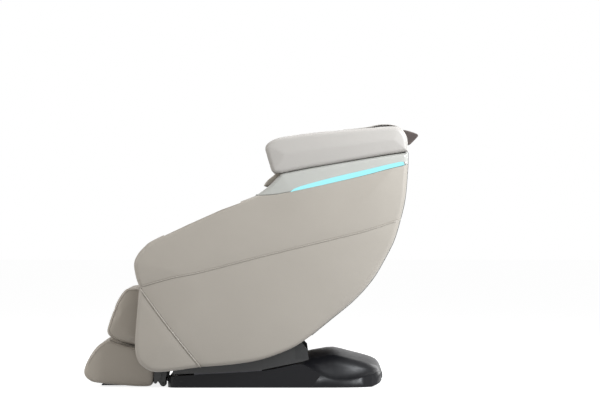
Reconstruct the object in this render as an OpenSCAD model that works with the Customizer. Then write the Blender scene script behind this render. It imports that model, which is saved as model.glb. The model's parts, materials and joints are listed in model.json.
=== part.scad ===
// Full-body massage chair: a rocking seat body on a low base, with a lifting calf rest and a sliding foot rest.
// X runs from the toes (-) to the back (+), Y across the chair, Z up. The sitter's left side is at -Y.

/* [Overall] */
// Height from the floor to the top of the hood
chair_h = 1105; // [920:1:1330]
// Clear width between the two arm liners
seat_w = 510; // [420:1:615]
// Width of one arm, from its liner to the outside of its panel
arm_w = 140; // [130:1:170]

/* [Side panels] */
// Wall of the padded side panels and hood wings
panel_wall = 6; // [4:0.5:8]
// Radius that rounds the outer edge of a side panel
panel_edge_r = 16; // [10:1:20]
// Height of the crown of a side panel over its edge
panel_crown = 20; // [10:1:24]
// Gap along the seams between neighbouring panels
seam_gap = 0.6; // [0.4:0.1:2]
// Depth of the massage channel in each arm
arm_well_d = 105; // [80:1:120]
// Width of the panel's lip beside the arm channel
arm_lip_w = 22; // [16:1:30]

/* [Pads] */
// Thickness of the back pad
back_pad_t = 50; // [35:1:60]
// Half width of the back pad
back_pad_hw = 236; // [180:1:240]
// Thickness of the walls of the arm pads
arm_pad_t = 18; // [12:1:24]
// Width of one calf channel
calf_channel_w = 158; // [130:1:180]
// Width of the calf divider
calf_divider_w = 78; // [60:1:90]

/* [Base] */
// Half width of the base cover
base_hw = 290; // [280:1:310]
// Wall of the plastic covers
cover_t = 4; // [3:0.5:6]
// Height of the rubber feet
foot_h = 12; // [8:1:14]
// Width of a base rail
rail_w = 32; // [24:1:40]
// Radius of the recline pivot pins
pivot_r = 14; // [10:0.5:18]
// Radius of the transport wheels
wheel_r = 27; // [22:1:30]

/* [Frame] */
// Thickness of the steel side plates
plate_t = 6; // [4:1:8]
// Outer radius of the seat cross tubes
tube_r = 12; // [9:0.5:14]
// Radius of the calf rest's hinge pins
knee_r = 10; // [7:0.5:12]

/* [Massage carriage] */
// Radius of a massage roller
roller_r = 34; // [26:1:36]
// Width of a massage roller
roller_w = 28; // [20:1:34]
// Radius of the kneading shaft
shaft_r = 10; // [8:0.5:12]

/* [Actuators] */
// Radius of an actuator rod
rod_r = 9; // [7:0.5:10]
// Radius of an actuator tube
actuator_r = 20; // [16:0.5:24]

/* [Hidden] */

// Scale of the side profile, whose points are written for a chair 1105 mm high
k = chair_h / 1105;
run_fit = 0.05;
clear_gap = 0.3;
round_fn = 48;

// Stack of parts across the chair, from the seat out to the panel
y_seat = seat_w / 2;
liner_t = 5;
y_plate = y_seat + liner_t + 6;
upright_t = 6;
y_upright = y_plate + plate_t + 4;
shroud_t = 12;
y_shroud = y_upright + upright_t + 2;
board_t = 4;
y_board = y_shroud + shroud_t + 2;
y_rim = y_board + board_t;
y_out = y_seat + arm_w;
y_edge = y_out - panel_crown - panel_edge_r;

// Pivots in the side profile
pivot = k * [-94, 504];
knee = k * [-365, 456];
track_centre = k * [-548, 1215];
track_r = 1130 * k;
carriage_angle = 33;

// Direction of the calf rest, from the knee to the foot, and the angle it makes with the vertical
leg_tilt = 15;
leg_hw = y_seat - 4;

// ---- curves ----

function spline_point(a, b, c, d, t) =
    0.5 * (2 * b + (c - a) * t + (2 * a - 5 * b + 4 * c - d) * t * t + (3 * b - a - 3 * c + d) * t * t * t);
function loop_spline(p, n) =
    let (m = len(p))
    [for (i = [0 : m - 1]) for (j = [0 : n - 1])
        spline_point(p[(i + m - 1) % m], p[i], p[(i + 1) % m], p[(i + 2) % m], j / n)];
function line_spline(p, n) =
    let (m = len(p) - 1)
    concat([for (i = [0 : m - 1]) for (j = [0 : n - 1])
        spline_point(p[max(i - 1, 0)], p[i], p[i + 1], p[min(i + 2, m)], j / n)], [p[m]]);
// A closed outline of open curves, each starting at the corner where the last one ended
function corner_loop(parts, n) =
    [for (p = parts) let (line = line_spline(p, n)) for (i = [0 : len(line) - 2]) line[i]];
function flip(p) = [for (i = [len(p) - 1 : -1 : 0]) p[i]];
function cross_sum(p, i = 0) =
    i == len(p) ? 0 : p[i][0] * p[(i + 1) % len(p)][1] - p[(i + 1) % len(p)][0] * p[i][1] + cross_sum(p, i + 1);
// Every outline is turned clockwise, so that its inner side is on the right
function clockwise(p) = cross_sum(p) > 0 ? flip(p) : p;
function inward(p, i) =
    let (m = len(p), v = p[(i + 1) % m] - p[(i + m - 1) % m])
    [v[1], -v[0]] / max(norm(v), 0.001);
function inset(p, d) = [for (i = [0 : len(p) - 1]) p[i] + d * inward(p, i)];
function arc(c, r, a0, a1, n) =
    [for (i = [0 : n]) let (a = a0 + (a1 - a0) * i / n) c + r * [cos(a), -sin(a)]];
function scaled(p) = [for (q = p) k * q];
function turned(v, a) = [v[0] * cos(a) + v[1] * sin(a), v[1] * cos(a) - v[0] * sin(a)];
// A ring of an outline at height y across the chair, drawn in by d and pulled to a centre by a share s
function ring(p, y, d = 0, s = 0, c = [0, 0]) =
    [for (q = inset(clockwise(p), d)) let (r = q + s * (c - q)) [r[0], y, r[1]]];

// ---- building blocks ----

// A closed skin over rings that follow each other in +Y. Its ends are flat, or strips between the two halves
// of the end rings
module loft(rings, strips = false) {
    n = len(rings[0]);
    last = len(rings) - 1;
    points = [for (r = rings) each r];
    sides = [for (j = [0 : last - 1]) for (i = [0 : n - 1])
        let (a = j * n + i, b = j * n + (i + 1) % n)
        each [[a, a + n, b + n], [a, b + n, b]]];
    cap = strips ? [for (i = [0 : n / 2 - 2]) [i, i + 1, n - 2 - i, n - 1 - i]] : [[for (i = [0 : n - 1]) i]];
    ends = concat(cap, [for (face = cap) [for (i = flip(face)) last * n + i]]);
    polyhedron(points, concat(sides, ends), convexity = 6);
}
// A side profile pushed out from y0 to y1
module profile(p, y0, y1) {
    translate([0, y1, 0])
        rotate([90, 0, 0])
            linear_extrude(y1 - y0)
                polygon(p);
}
// A round bar along Y
module bar(at, r, y0, y1) {
    translate([at[0], y1, at[1]])
        rotate([90, 0, 0])
            cylinder(h = y1 - y0, r = r, $fn = round_fn);
}
module both_sides() {
    children();
    mirror([0, 1, 0])
        children();
}
module left_side() {
    mirror([0, 1, 0])
        children();
}
// A frame at a point of the profile, with its X axis raised by an angle
module at_slope(at, angle) {
    translate([at[0], 0, at[1]])
        rotate([0, -angle, 0])
            children();
}
module block(x0, x1, y0, y1, z0, z1) {
    translate([x0, y0, z0])
        cube([x1 - x0, y1 - y0, z1 - z0]);
}

// ---- side profile ----

arm_front = k * [-410, 626];
arm_rear = k * [19, 812];
arm_slope = atan2(arm_rear[1] - arm_front[1], arm_rear[0] - arm_front[0]);
well_start = 45 * k;
well_end = 400 * k;

rear_edge = scaled([[658, 941], [650, 836], [629, 710], [600, 626], [558, 542], [507, 458], [432, 374],
    [331, 290], [253, 226]]);
side_loop = corner_loop([
    scaled([[-472, 430], [-484, 470], [-492, 525], [-478, 563], [-449, 597], [-410, 626], [-270, 692],
        [-130, 754], [19, 812]]),
    scaled([[19, 812], [77, 855], [125, 904]]),
    scaled([[125, 904], [236, 926], [429, 959], [552, 979], [657, 994]]),
    concat([k * [657, 994]], rear_edge, scaled([[167, 170], [38, 123], [-93, 102], [-213, 93], [-334, 76],
        [-411, 73], [-455, 95], [-478, 124], [-488, 177], [-485, 250], [-478, 336], [-472, 430]]))], 2);
side_centre = k * [60, 480];

hood_loop = corner_loop([
    scaled([[125, 906], [88, 914], [70, 955], [60, 1008], [86, 1042], [150, 1061], [284, 1079], [400, 1089],
        [510, 1097], [596, 1103], [642, 1080], [658, 998]]),
    scaled([[658, 998], [549, 981], [429, 961], [332, 944], [236, 928], [125, 906]])], 2);
hood_centre = k * [370, 1015];

// Seam between the lower and the upper panel, and the lower edge of the accent trim
lower_seam = scaled([[-520, 412], [-468, 427], [-334, 467], [-237, 486], [-93, 522], [37, 556], [332, 628],
    [477, 664], [626, 712], [720, 742]]);
accent_seam = scaled([[-560, 830], [-110, 815], [19, 813], [91, 817], [163, 828], [332, 864], [477, 898],
    [574, 924], [646, 941], [720, 960]]);
light_top = scaled([[165, 828], [197, 849], [332, 888], [477, 922], [574, 944], [622, 953], [648, 946]]);
light_low = scaled([[165, 828], [250, 846], [332, 864], [477, 898], [574, 924], [648, 943]]);
profile_floor = -100 * k;
profile_top = 1300 * k;

// The part of a panel on one side of a seam, which runs on to a level below or above the whole profile
module seam_side(curve, shift, level) {
    edge = [for (q = line_spline(curve, 2)) q + [0, shift]];
    ends = [[edge[len(edge) - 1][0], level], [edge[0][0], level]];
    profile(concat(edge, ends), y_rim - 10, y_out + 10);
}
module below(curve, gap) { seam_side(curve, -gap, profile_floor); }
module above(curve, gap) { seam_side(curve, gap, profile_top); }
function light_loop(grow) =
    let (top = [for (q = light_top) q + [0, grow]], low = [for (q = light_low) q - [0, grow]])
    concat(line_spline(top, 2), flip(line_spline(low, 2)));

// Height of the crown for a share s of the way to the centre of the panel
crown_end = 0.62;
function crown_at(s) = panel_crown * (1 - pow(1 - min(s / crown_end, 1), 2));
// An outer skin, grown inward by a wall t
function skin_rings(p, c, t) =
    let (r = panel_edge_r - t)
    concat(
        [ring(p, y_rim - (t > 0 ? 1 : 0), t), ring(p, y_edge, t)],
        [for (a = [35, 65, 90]) ring(p, y_edge + r * sin(a), t + r * (1 - cos(a)))],
        [for (s = [0.12, 0.3, crown_end]) ring(p, y_edge + r + crown_at(s), t + r, s, c)]);
module side_shell() {
    difference() {
        loft(skin_rings(side_loop, side_centre, 0));
        loft(skin_rings(side_loop, side_centre, panel_wall));
        at_slope(arm_front, arm_slope)
            block(well_start, well_end, y_rim - 5, y_out - arm_lip_w, -arm_well_d, 100);
    }
}

// ---- base ----

base_front = -354 * k;
base_tail = 558 * k;
// Half of the plan of the base, from its front to its tail
base_half = line_spline([[base_front, base_hw - 45], [base_front + 14, base_hw - 12],
    [base_front + 60, base_hw], [-100 * k, base_hw], [200 * k, base_hw], [380 * k, base_hw - 8],
    [480 * k, base_hw - 40], [540 * k, base_hw - 100], [base_tail, base_hw - 170]], 4);
// Top of the base: place along the chair, height of its ridge, height of its rim and rise of its crown
base_line = line_spline(scaled([[-354, 40, 40, 0], [-340, 47, 47, 0], [-322, 49, 49, 0], [-294, 52, 52, 0],
    [-182, 59, 59, 0], [37, 71, 71, 0], [150, 92, 92, 14], [217, 109, 100, 32], [291, 123, 54, 34],
    [347, 131, 30, 32], [415, 117, 31, 30], [482, 99, 46, 31], [530, 84, 62, 27], [550, 68, 60, 10],
    [558, 48, 48, 0]]), 2);
base_plan = concat(base_half, flip([for (q = base_half) [q[0], -q[1]]]));
base_under = scaled([[-360, 2], [507, 2], [540, 14], [560, 36]]);
base_flange = 28;
// The ridge lies at this share of the half width; beyond it the top falls to the rim
ridge_share = 0.82;
base_shares = [1, 0.955, 0.91, 0.865, ridge_share, 0.7, 0.56, 0.4, 0.2];
function base_value(x, i) = lookup(x, [for (q = base_line) [q[0], q[i]]]);
function base_top(x, s) =
    let (ridge = base_value(x, 1), beyond = max(abs(s) - ridge_share, 0) / (1 - ridge_share),
        fall = 1 - pow(1 - min(beyond, 1), 1.7))
    ridge - fall * (ridge - base_value(x, 2)) + base_value(x, 3) * cos(90 * min(abs(s) / ridge_share, 1));
// Section of the base along the chair for a share s of its half width, drawn in by a wall t
function base_ring(s, t) =
    let (shrink = 1 - 2 * t / (base_tail - base_front),
        xs = [for (q = base_line) base_front + t + (q[0] - base_front) * shrink])
    concat([for (x = xs) [x, s * (lookup(x, base_half) - t), base_top(x, s) - t]],
        [for (x = flip(xs)) [x, s * (lookup(x, base_half) - t), lookup(x, base_under) + t]]);
inlet_y = -105;
inlet_w = 92;
inlet_h = 34;
inlet_z = 28;
rail_x0 = -320 * k;
rail_x1 = 470 * k;
rail_y = y_seat - 43;
rail_h = 26;
wheel_at = [395 * k, wheel_r + 2];
axle_r = 6;

module base_body(t) {
    loft([for (s = both_ways(base_shares)) base_ring(s, t)], true);
}
module base_cover() {
    color([0.07, 0.07, 0.075])
        resize([0, 0, 0])
            difference() {
                base_body(0);
                base_body(cover_t);
                translate([0, 0, -1])
                    linear_extrude(14)
                        offset(delta = -base_flange)
                            polygon(base_plan);
                both_sides()
                    block(-262 * k, 72 * k, y_upright - 2, y_shroud - 0.5, 30, 200 * k);
                block(rail_x1 + 20, base_tail + 10, inlet_y - inlet_w / 2 - clear_gap,
                    inlet_y + inlet_w / 2 + clear_gap, inlet_z - clear_gap, inlet_z + inlet_h + clear_gap);
                block(-212 * k, -130 * k, -34, 34, 30, 200 * k);
            }
}
shroud_side = concat(scaled([[-332, 60], [-330, 96], [-300, 190]]), scaled([[-150, 520], [-128, 541]]),
    scaled([[-94, 552], [-60, 541], [-38, 520], [60, 360], [150, 255], [206, 196], [236, 164], [242, 122]]),
    scaled([[217, 113], [37, 76], [-182, 64]]));
module shrouds() {
    color([0.09, 0.09, 0.09])
        both_sides() {
            for (z = [239, 351])
                bar(k * [-95, z], 8, y_upright + upright_t, y_shroud + shroud_t - 1);
            difference() {
                profile(shroud_side, y_shroud, y_shroud + shroud_t);
                profile(inset(clockwise(shroud_side), cover_t), y_shroud - 1, y_shroud + shroud_t - cover_t);
                bar(pivot, pivot_r + 5, y_shroud - 1, y_shroud + shroud_t - cover_t);
                for (i = [0 : 4])
                    translate([(-20 + 28 * i) * k, 0, (300 - 26 * i) * k])
                        rotate([0, 40, 0])
                            block(-30 * k, 30 * k, y_shroud + 1, y_shroud + shroud_t + 1, -3, 3);
            }
        }
}
bracket_side = scaled([[186, 124], [184, 182], [204, 194], [232, 166], [238, 126]]);
module rear_brackets() {
    color([0.16, 0.16, 0.16])
        both_sides()
            difference() {
                profile(bracket_side, y_shroud + shroud_t, y_board - 2 * clear_gap);
                for (z = [138, 158])
                    bar(k * [212, z], 3.5, y_shroud + shroud_t - 1, y_shroud + shroud_t + 7);
            }
}
upright_side = scaled([[-250, 30], [-118, 520], [-94, 530], [-70, 520], [56, 30]]);
module base_frame() {
    color([0.32, 0.33, 0.35])
        difference() {
            union() {
                both_sides() {
                    block(rail_x0, rail_x1, rail_y, rail_y + rail_w, foot_h, foot_h + rail_h);
                    difference() {
                        union() {
                            profile(upright_side, y_upright, y_upright + upright_t);
                            bar(pivot, 34, y_upright, y_upright + upright_t);
                        }
                        for (c = [[-96, 168, 52], [-94, 296, 38], [-94, 396, 28]])
                            bar(k * [c[0], c[1]], c[2] * k, y_upright - 1, y_upright + upright_t + 1);
                    }
                    for (x = [-246, 12])
                        block(x * k, (x + 40) * k, rail_y + rail_w - 1, y_upright + 1,
                            foot_h + 3, foot_h + rail_h);
                    bar(pivot, pivot_r, y_seat + liner_t + 1, y_upright + 1);
                    bar(pivot, pivot_r + 6, y_seat + liner_t + 1, y_plate - 0.5);
                }
                for (x = [-320, 430])
                    block(x * k, (x + 32) * k, -rail_y - 1, rail_y + 1, foot_h, foot_h + rail_h - 4);
                for (x = [-210, 10])
                    block(x * k, (x + 32) * k, -base_hw + cover_t + clear_gap, base_hw - cover_t - clear_gap,
                        foot_h, foot_h + rail_h - 4);
                for (y = [-24, 16])
                    translate([0, y + 8, 0])
                        rotate([90, 0, 0])
                            linear_extrude(8)
                                polygon(scaled([[-208, 34], [-186, 104], [-158, 104], [-140, 34]]));
                block(-208 * k, -140 * k, -24, 24, foot_h, foot_h + rail_h - 4);
                block(461 * k, 538 * k, inlet_y - 40, inlet_y + 40, inlet_z - 3, inlet_z);
            }
            bar(wheel_at, axle_r + run_fit, -rail_y - rail_w - 1, rail_y + rail_w + 1);
            bar(recline_foot, 6, -25, 25);
        }
}
module base_feet() {
    color([0.05, 0.05, 0.05])
        both_sides()
            for (x = [-290, 345])
                translate([x * k, rail_y + rail_w / 2, 0])
                    difference() {
                        union() {
                            cylinder(h = foot_h, r = 15, $fn = round_fn);
                            cylinder(h = foot_h - 4, r1 = 24, r2 = 21, $fn = round_fn);
                        }
                        translate([0, 0, -1])
                            cylinder(h = 5, r = 5, $fn = round_fn);
                    }
}
module transport_wheels() {
    color([0.1, 0.1, 0.1]) {
        bar(wheel_at, axle_r, -rail_y - rail_w, rail_y + rail_w);
        both_sides()
            difference() {
                bar(wheel_at, wheel_r, rail_y - 36, rail_y - 8);
                bar(wheel_at, wheel_r - 7, rail_y - 14, rail_y - 7);
                bar(wheel_at, wheel_r - 7, rail_y - 37, rail_y - 30);
            }
        both_sides()
            bar(wheel_at, axle_r + 6, rail_y - 36, rail_y - 8);
    }
}

switch_y = inlet_y - 24;
socket_y = inlet_y + 18;
inlet_face = 546 * k;
switch_w = 14;
switch_h = 22;
module power_inlet() {
    mid_z = inlet_z + inlet_h / 2;
    color([0.04, 0.04, 0.04])
        difference() {
            union() {
                block(rail_x1 + 12, inlet_face - 2, inlet_y - inlet_w / 2 + 3, inlet_y + inlet_w / 2 - 3,
                    inlet_z, inlet_z + inlet_h - 3);
                block(inlet_face - 2, inlet_face, inlet_y - inlet_w / 2, inlet_y + inlet_w / 2,
                    inlet_z, inlet_z + inlet_h);
            }
            block(inlet_face - 18, inlet_face + 1, socket_y - 13.5, socket_y + 13.5, mid_z - 9.5, mid_z + 9.5);
            block(inlet_face - 14, inlet_face + 1, switch_y - switch_w / 2, switch_y + switch_w / 2,
                mid_z - switch_h / 2, mid_z + switch_h / 2);
        }
    color([0.75, 0.72, 0.6])
        for (pin = [[-7, -2], [0, 3], [7, -2]])
            block(inlet_face - 18.5, inlet_face - 4, socket_y + pin[0] - 1, socket_y + pin[0] + 1,
                mid_z + pin[1] - 2, mid_z + pin[1] + 2);
}
switch_axis = [inlet_face - 5, inlet_z + inlet_h / 2];
module power_switch() {
    color([0.6, 0.05, 0.05])
        intersection() {
            block(inlet_face - 12, inlet_face + 4, switch_y - switch_w / 2 + 0.5,
                switch_y + switch_w / 2 - 0.5, 0, 100);
            difference() {
                bar(switch_axis, switch_h / 2 - 0.6, switch_y - 10, switch_y + 10);
                translate([switch_axis[0] + 18, 0, switch_axis[1]])
                    rotate([90, 0, 0])
                        cylinder(h = 40 + 2 * abs(switch_y), r = 12, center = true, $fn = round_fn);
            }
        }
}

// ---- actuators ----

// Lug on the seat frame for the recline rod, and the line the rod keeps through the recline
recline_swing = 24;
recline_lug = k * [-200, -150];
recline_lug_end = turned(recline_lug, recline_swing);
recline_lug_mid = turned(recline_lug, recline_swing / 2);
recline_chord = recline_lug_end - recline_lug;
recline_way = recline_chord / norm(recline_chord);
recline_mean = pivot + (recline_lug + recline_lug_end) / 4 + recline_lug_mid / 2;
recline_rest = recline_mean - recline_chord / 2;
recline_len = 288 * k;
recline_foot = recline_rest - recline_len * recline_way;
recline_lift = atan2(recline_way[1], recline_way[0]);
stroke_recline = norm(recline_chord);
lug_hole_r = 12;
lug_pin_r = 5;

// Lug on the calf rest for the leg rod
leg_swing = 45;
leg_lug = k * [-15, -88];
leg_lug_end = turned(leg_lug, leg_swing);
leg_lug_mid = turned(leg_lug, leg_swing / 2);
leg_chord = leg_lug_end - leg_lug;
leg_way = leg_chord / norm(leg_chord);
leg_mean = knee + (leg_lug + leg_lug_end) / 4 + leg_lug_mid / 2;
leg_rest = leg_mean - leg_chord / 2;
leg_len = 196 * k;
leg_foot = leg_rest - leg_len * leg_way;
leg_lift = atan2(leg_way[1], leg_way[0]);
stroke_leg = norm(leg_chord);
leg_y = -96;

actuator_neck = 24;
module actuator_tube(foot, lift, y, tube_len) {
    translate([foot[0], y, foot[1]])
        rotate([0, -lift, 0])
            difference() {
                union() {
                    translate([actuator_neck, 0, 0])
                        rotate([0, 90, 0])
                            cylinder(h = tube_len - actuator_neck, r = actuator_r, $fn = round_fn);
                    rotate([90, 0, 0])
                        cylinder(h = 24, r = 13, center = true, $fn = round_fn);
                    block(0, actuator_neck + 2, -11, 11, -11, 11);
                    block(actuator_neck + 4, actuator_neck + 50, 2 - actuator_r, actuator_r - 2,
                        -actuator_r - 14, 0);
                    translate([tube_len - 12, 0, 0])
                        rotate([0, 90, 0])
                            cylinder(h = 12, r = actuator_r + 2.5, $fn = round_fn);
                }
                translate([40, 0, 0])
                    rotate([0, 90, 0])
                        cylinder(h = tube_len, r = rod_r + run_fit, $fn = round_fn);
            }
    bar(foot, 6, y - 22, y + 22);
}
module actuator_rod(foot, lift, y, start, rod_len) {
    translate([foot[0], y, foot[1]])
        rotate([0, -lift, 0]) {
            translate([start, 0, 0])
                rotate([0, 90, 0])
                    cylinder(h = rod_len - start - 4, r = rod_r, $fn = round_fn);
            translate([rod_len, 0, 0])
                rotate([90, 0, 0])
                    cylinder(h = 16, r = rod_r + 3, center = true, $fn = round_fn);
            translate([rod_len, 0, 0])
                rotate([90, 0, 0])
                    cylinder(h = 42, r = lug_pin_r, center = true, $fn = round_fn);
        }
}
module recline_motor() {
    color([0.2, 0.2, 0.21])
        actuator_tube(recline_foot, recline_lift, 0, 186 * k);
}
module recline_rod() {
    color([0.75, 0.75, 0.77])
        actuator_rod(recline_foot, recline_lift, 0, 60, recline_len);
}
module leg_motor() {
    color([0.2, 0.2, 0.21])
        actuator_tube(leg_foot, leg_lift, leg_y, 138 * k);
}
module leg_rod() {
    color([0.75, 0.75, 0.77])
        actuator_rod(leg_foot, leg_lift, leg_y, 52, leg_len);
}

// ---- seat frame ----

seat_tubes = [k * [-306, 378], k * [-120, 378]];
seat_board_t = 12;
back_tube_ring = track_r + 103 * k;
back_tubes = [track_centre + back_tube_ring * [cos(24), -sin(24)],
    track_centre + back_tube_ring * [cos(44), -sin(44)], k * [528, 1066]];
plate_side = scaled([[-446, 500], [-446, 560], [-410, 580], [-352, 548], [-325, 535], [-150, 600], [0, 640],
    [150, 720], [290, 800], [470, 960], [500, 1084], [560, 1084], [626, 1010], [628, 930], [600, 770],
    [560, 650], [490, 530], [408, 410], [352, 338], [240, 300], [110, 300], [-20, 400], [-94, 466], [-160, 420],
    [-230, 352], [-330, 352], [-350, 420], [-392, 438]]);
spacer_at = [k * [-424, 528], k * [60, 640], k * [300, 780], k * [520, 1000], k * [590, 900]];
module main_frame() {
    color([0.25, 0.26, 0.28])
        difference() {
            union() {
                both_sides() {
                    profile(plate_side, y_plate, y_plate + plate_t);
                    bar(knee, 22, y_plate, y_plate + plate_t);
                    for (s = spacer_at)
                        bar(s, 9, y_plate, y_board);
                    bar(knee, knee_r, y_seat + liner_t + 0.8, y_plate + plate_t);
                }
                for (t = concat(seat_tubes, back_tubes))
                    bar(t, t == back_tubes[2] ? 9 : tube_r, -y_plate - 1, y_plate + 1);
                for (y = [-20, 14])
                    difference() {
                        union() {
                            bar(pivot + recline_lug, lug_hole_r + 8, y, y + 6);
                            profile([seat_tubes[0] + [-14, 0], seat_tubes[0] + [14, 0],
                                pivot + recline_lug + [16, 0], pivot + recline_lug + [-16, 0]], y, y + 6);
                        }
                        bar(pivot + recline_lug, lug_hole_r, y - 1, y + 7);
                    }
                for (y = [leg_y - 20, leg_y + 14])
                    profile([seat_tubes[1] + [-12, 0], seat_tubes[1] + [12, 0], leg_foot + [14, -8],
                        leg_foot + [-8, -16], leg_foot + [-14, 8]], y, y + 6);
            }
            both_sides() {
                bar(pivot, pivot_r + run_fit, y_plate - 1, y_plate + plate_t + 1);
                bar(k * [500, 890], 36 * k, y_plate - 1, y_plate + plate_t + 1);
                bar(k * [350, 640], 60 * k, y_plate - 1, y_plate + plate_t + 1);
                bar(k * [140, 500], 60 * k, y_plate - 1, y_plate + plate_t + 1);
            }
            bar(leg_foot, 6 + clear_gap, leg_y - 30, leg_y + 30);
        }
}
board_bridge = scaled([[200, 880], [600, 940], [610, 1040], [200, 990]]);
module side_boards() {
    color([0.3, 0.26, 0.22])
        both_sides()
            difference() {
                union() {
                    profile(inset(clockwise(side_loop), 8), y_board, y_rim);
                    profile(inset(clockwise(hood_loop), 8), y_board, y_rim);
                    profile(board_bridge, y_board, y_rim);
                }
                at_slope(arm_front, arm_slope)
                    block(well_start - 3, well_end + 3, y_board - 1, y_rim + 1, -arm_well_d - 3, 200);
                for (c = [[-220, 300, 66], [0, 330, 70], [180, 560, 70], [430, 760, 68], [-300, 190, 46]])
                    bar(k * [c[0], c[1]], c[2] * k, y_board - 1, y_rim + 1);
            }
}
module track_rails() {
    color([0.7, 0.71, 0.73])
        both_sides() {
            translate([track_centre[0], y_seat - 17, track_centre[1]])
                rotate([90, 0, 0])
                    translate([0, 0, -12])
                        rotate([0, 0, -59])
                            rotate_extrude(angle = 52, $fn = 180)
                                translate([track_r - 8, 0])
                                    square([16, 12]);
            for (a = [9, 26, 43, 57])
                translate([track_centre[0], 0, track_centre[1]])
                    rotate([0, a, 0])
                        block(track_r - 8, track_r + 8, y_seat - 6, y_plate, -12, 12);
        }
}
module seat_board() {
    color([0.55, 0.42, 0.28])
        difference() {
            block(-345 * k, -40 * k, -y_seat + 5, y_seat - 5, seat_tubes[0][1] + tube_r,
                seat_tubes[0][1] + tube_r + seat_board_t);
            for (y = [-120, 0, 120])
                translate([-190 * k, y, seat_tubes[0][1]])
                    cylinder(h = 40, r = 22, $fn = round_fn);
        }
}

// ---- covers of the seat body ----

module panel_piece(part) {
    resize([0, 0, 0])
        intersection() {
            side_shell();
            if (part == "lower")
                below(lower_seam, seam_gap / 2);
            if (part == "upper")
                intersection() {
                    above(lower_seam, seam_gap / 2);
                    below(accent_seam, seam_gap / 2);
                }
            if (part == "accent")
                difference() {
                    above(accent_seam, seam_gap / 2);
                    profile(light_loop(seam_gap), y_rim - 10, y_out + 10);
                }
            if (part == "light")
                intersection() {
                    above(accent_seam, seam_gap / 2);
                    profile(light_loop(0), y_edge, y_out + 10);
                }
        }
}
module lower_panel() {
    color([0.60, 0.57, 0.53])
        panel_piece("lower");
}
module upper_panel() {
    color([0.68, 0.65, 0.62])
        panel_piece("upper");
}
module accent_trim() {
    color([0.9, 0.9, 0.9])
        panel_piece("accent");
}
module light_bar() {
    color([0.6, 0.95, 0.98])
        panel_piece("light");
}
module side_panel_lower_right() { lower_panel(); }
module side_panel_lower_left() { left_side() lower_panel(); }
module side_panel_upper_right() { upper_panel(); }
module side_panel_upper_left() { left_side() upper_panel(); }
module accent_trim_right() { accent_trim(); }
module accent_trim_left() { left_side() accent_trim(); }
module light_bars() { both_sides() light_bar(); }

module hood_wing() {
    color([0.83, 0.81, 0.79])
        resize([0, 0, 0])
            difference() {
                loft(skin_rings(hood_loop, hood_centre, 0));
                loft(skin_rings(hood_loop, hood_centre, panel_wall));
            }
}
module hood_wing_right() { hood_wing(); }
module hood_wing_left() { left_side() hood_wing(); }

hood_band = scaled([[380, 1087], [496, 1096], [598, 1101], [632, 1086], [648, 1054], [654, 1010], [652, 943]]);
module hood_center() {
    outer = line_spline(hood_band, 3);
    inner = line_spline([for (i = [0 : len(hood_band) - 1]) hood_band[i] + 12 * unit_normal(hood_band, i)], 3);
    color([0.8, 0.78, 0.76])
        profile(concat(outer, flip(inner)), -y_board + 0.5, y_board - 0.5);
}
function unit_normal(p, i) =
    let (v = p[min(i + 1, len(p) - 1)] - p[max(i - 1, 0)])
    [v[1], -v[0]] / norm(v);

back_points = concat([k * [656, 941]], [for (i = [1 : 5]) rear_edge[i]], scaled([[458, 402], [418, 362]]));
back_line = [for (q = line_spline(back_points, 3)) q + [-3, 1]];
back_crown = 7;
back_ys = [-1, -0.985, -0.94, -0.86, -0.7, -0.35, 0, 0.35, 0.7, 0.86, 0.94, 0.985, 1];
// Line of the back cover for a share s of the way across, d below its outer face
function back_curve(s, d) =
    let (last = len(back_line) - 1, edge = 5 * pow(max(abs(s) - 0.86, 0) / 0.14, 2))
    [for (i = [0 : last])
        let (rise = back_crown * (1 - s * s) * sin(180 * i / last))
        back_line[i] + (d + edge - rise) * unit_normal(back_line, i)];
function back_ring(s, d0, d1) = concat(back_curve(s, d0), flip(back_curve(s, d1)));
module back_cover() {
    half = y_board - 0.5;
    louvre_rows = 7;
    rib_y = 150;
    color([0.1, 0.1, 0.1])
        resize([0, 0, 0])
            difference() {
                union() {
                    loft([for (s = back_ys) ring(back_ring(s, 0, cover_t), s * half)]);
                    for (y = [-rib_y, 0, rib_y])
                        loft([for (w = [-2, 2]) ring(back_ring(y / half, cover_t - 1, cover_t + 9), y + w)]);
                }
                for (i = [0 : louvre_rows - 1])
                    translate([(478 + 14 * i) * k, 0, (440 + 26 * i) * k])
                        rotate([0, 35, 0])
                            for (y = [-rib_y / 2, rib_y / 2])
                                block(-50, 50, y - 58, y + 58, -3.5, 3.5);
            }
}

liner_rear = arc(track_centre, track_r - 142 * k, 21, 56.5, 12);
liner_side = concat(
    scaled([[-472, 452], [-484, 478], [-490, 525], [-476, 563], [-447, 596], [-409, 624], [-268, 690],
        [-129, 752], [19, 806], [60, 836], [150, 842], [240, 850]]),
    liner_rear,
    scaled([[-30, 396], [-338, 396], [-340, 450]]));
module arm_liners() {
    color([0.42, 0.39, 0.36])
        both_sides()
            difference() {
                profile(liner_side, y_seat, y_board - 0.2);
                profile(inset(clockwise(liner_side), liner_t), y_seat + liner_t, y_board);
                block(-342 * k, 700 * k, y_seat + liner_t, y_board + 1, 380 * k, 500 * k);
                block(40 * k, 700 * k, y_seat + liner_t, y_board + 1, 380 * k, 1000 * k);
                at_slope(arm_front, arm_slope)
                    block(well_start, well_end, y_seat + liner_t, y_board + 1, -60, 100);
                bar(knee, 20, y_seat - 1, y_board + 1);
                block(-480 * k, -340 * k, y_seat + liner_t, y_board, 440 * k, 500 * k);
            }
}
arm_pad_y0 = y_seat + liner_t + 0.5;
arm_pad_y1 = y_out - arm_lip_w - 0.5;
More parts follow.
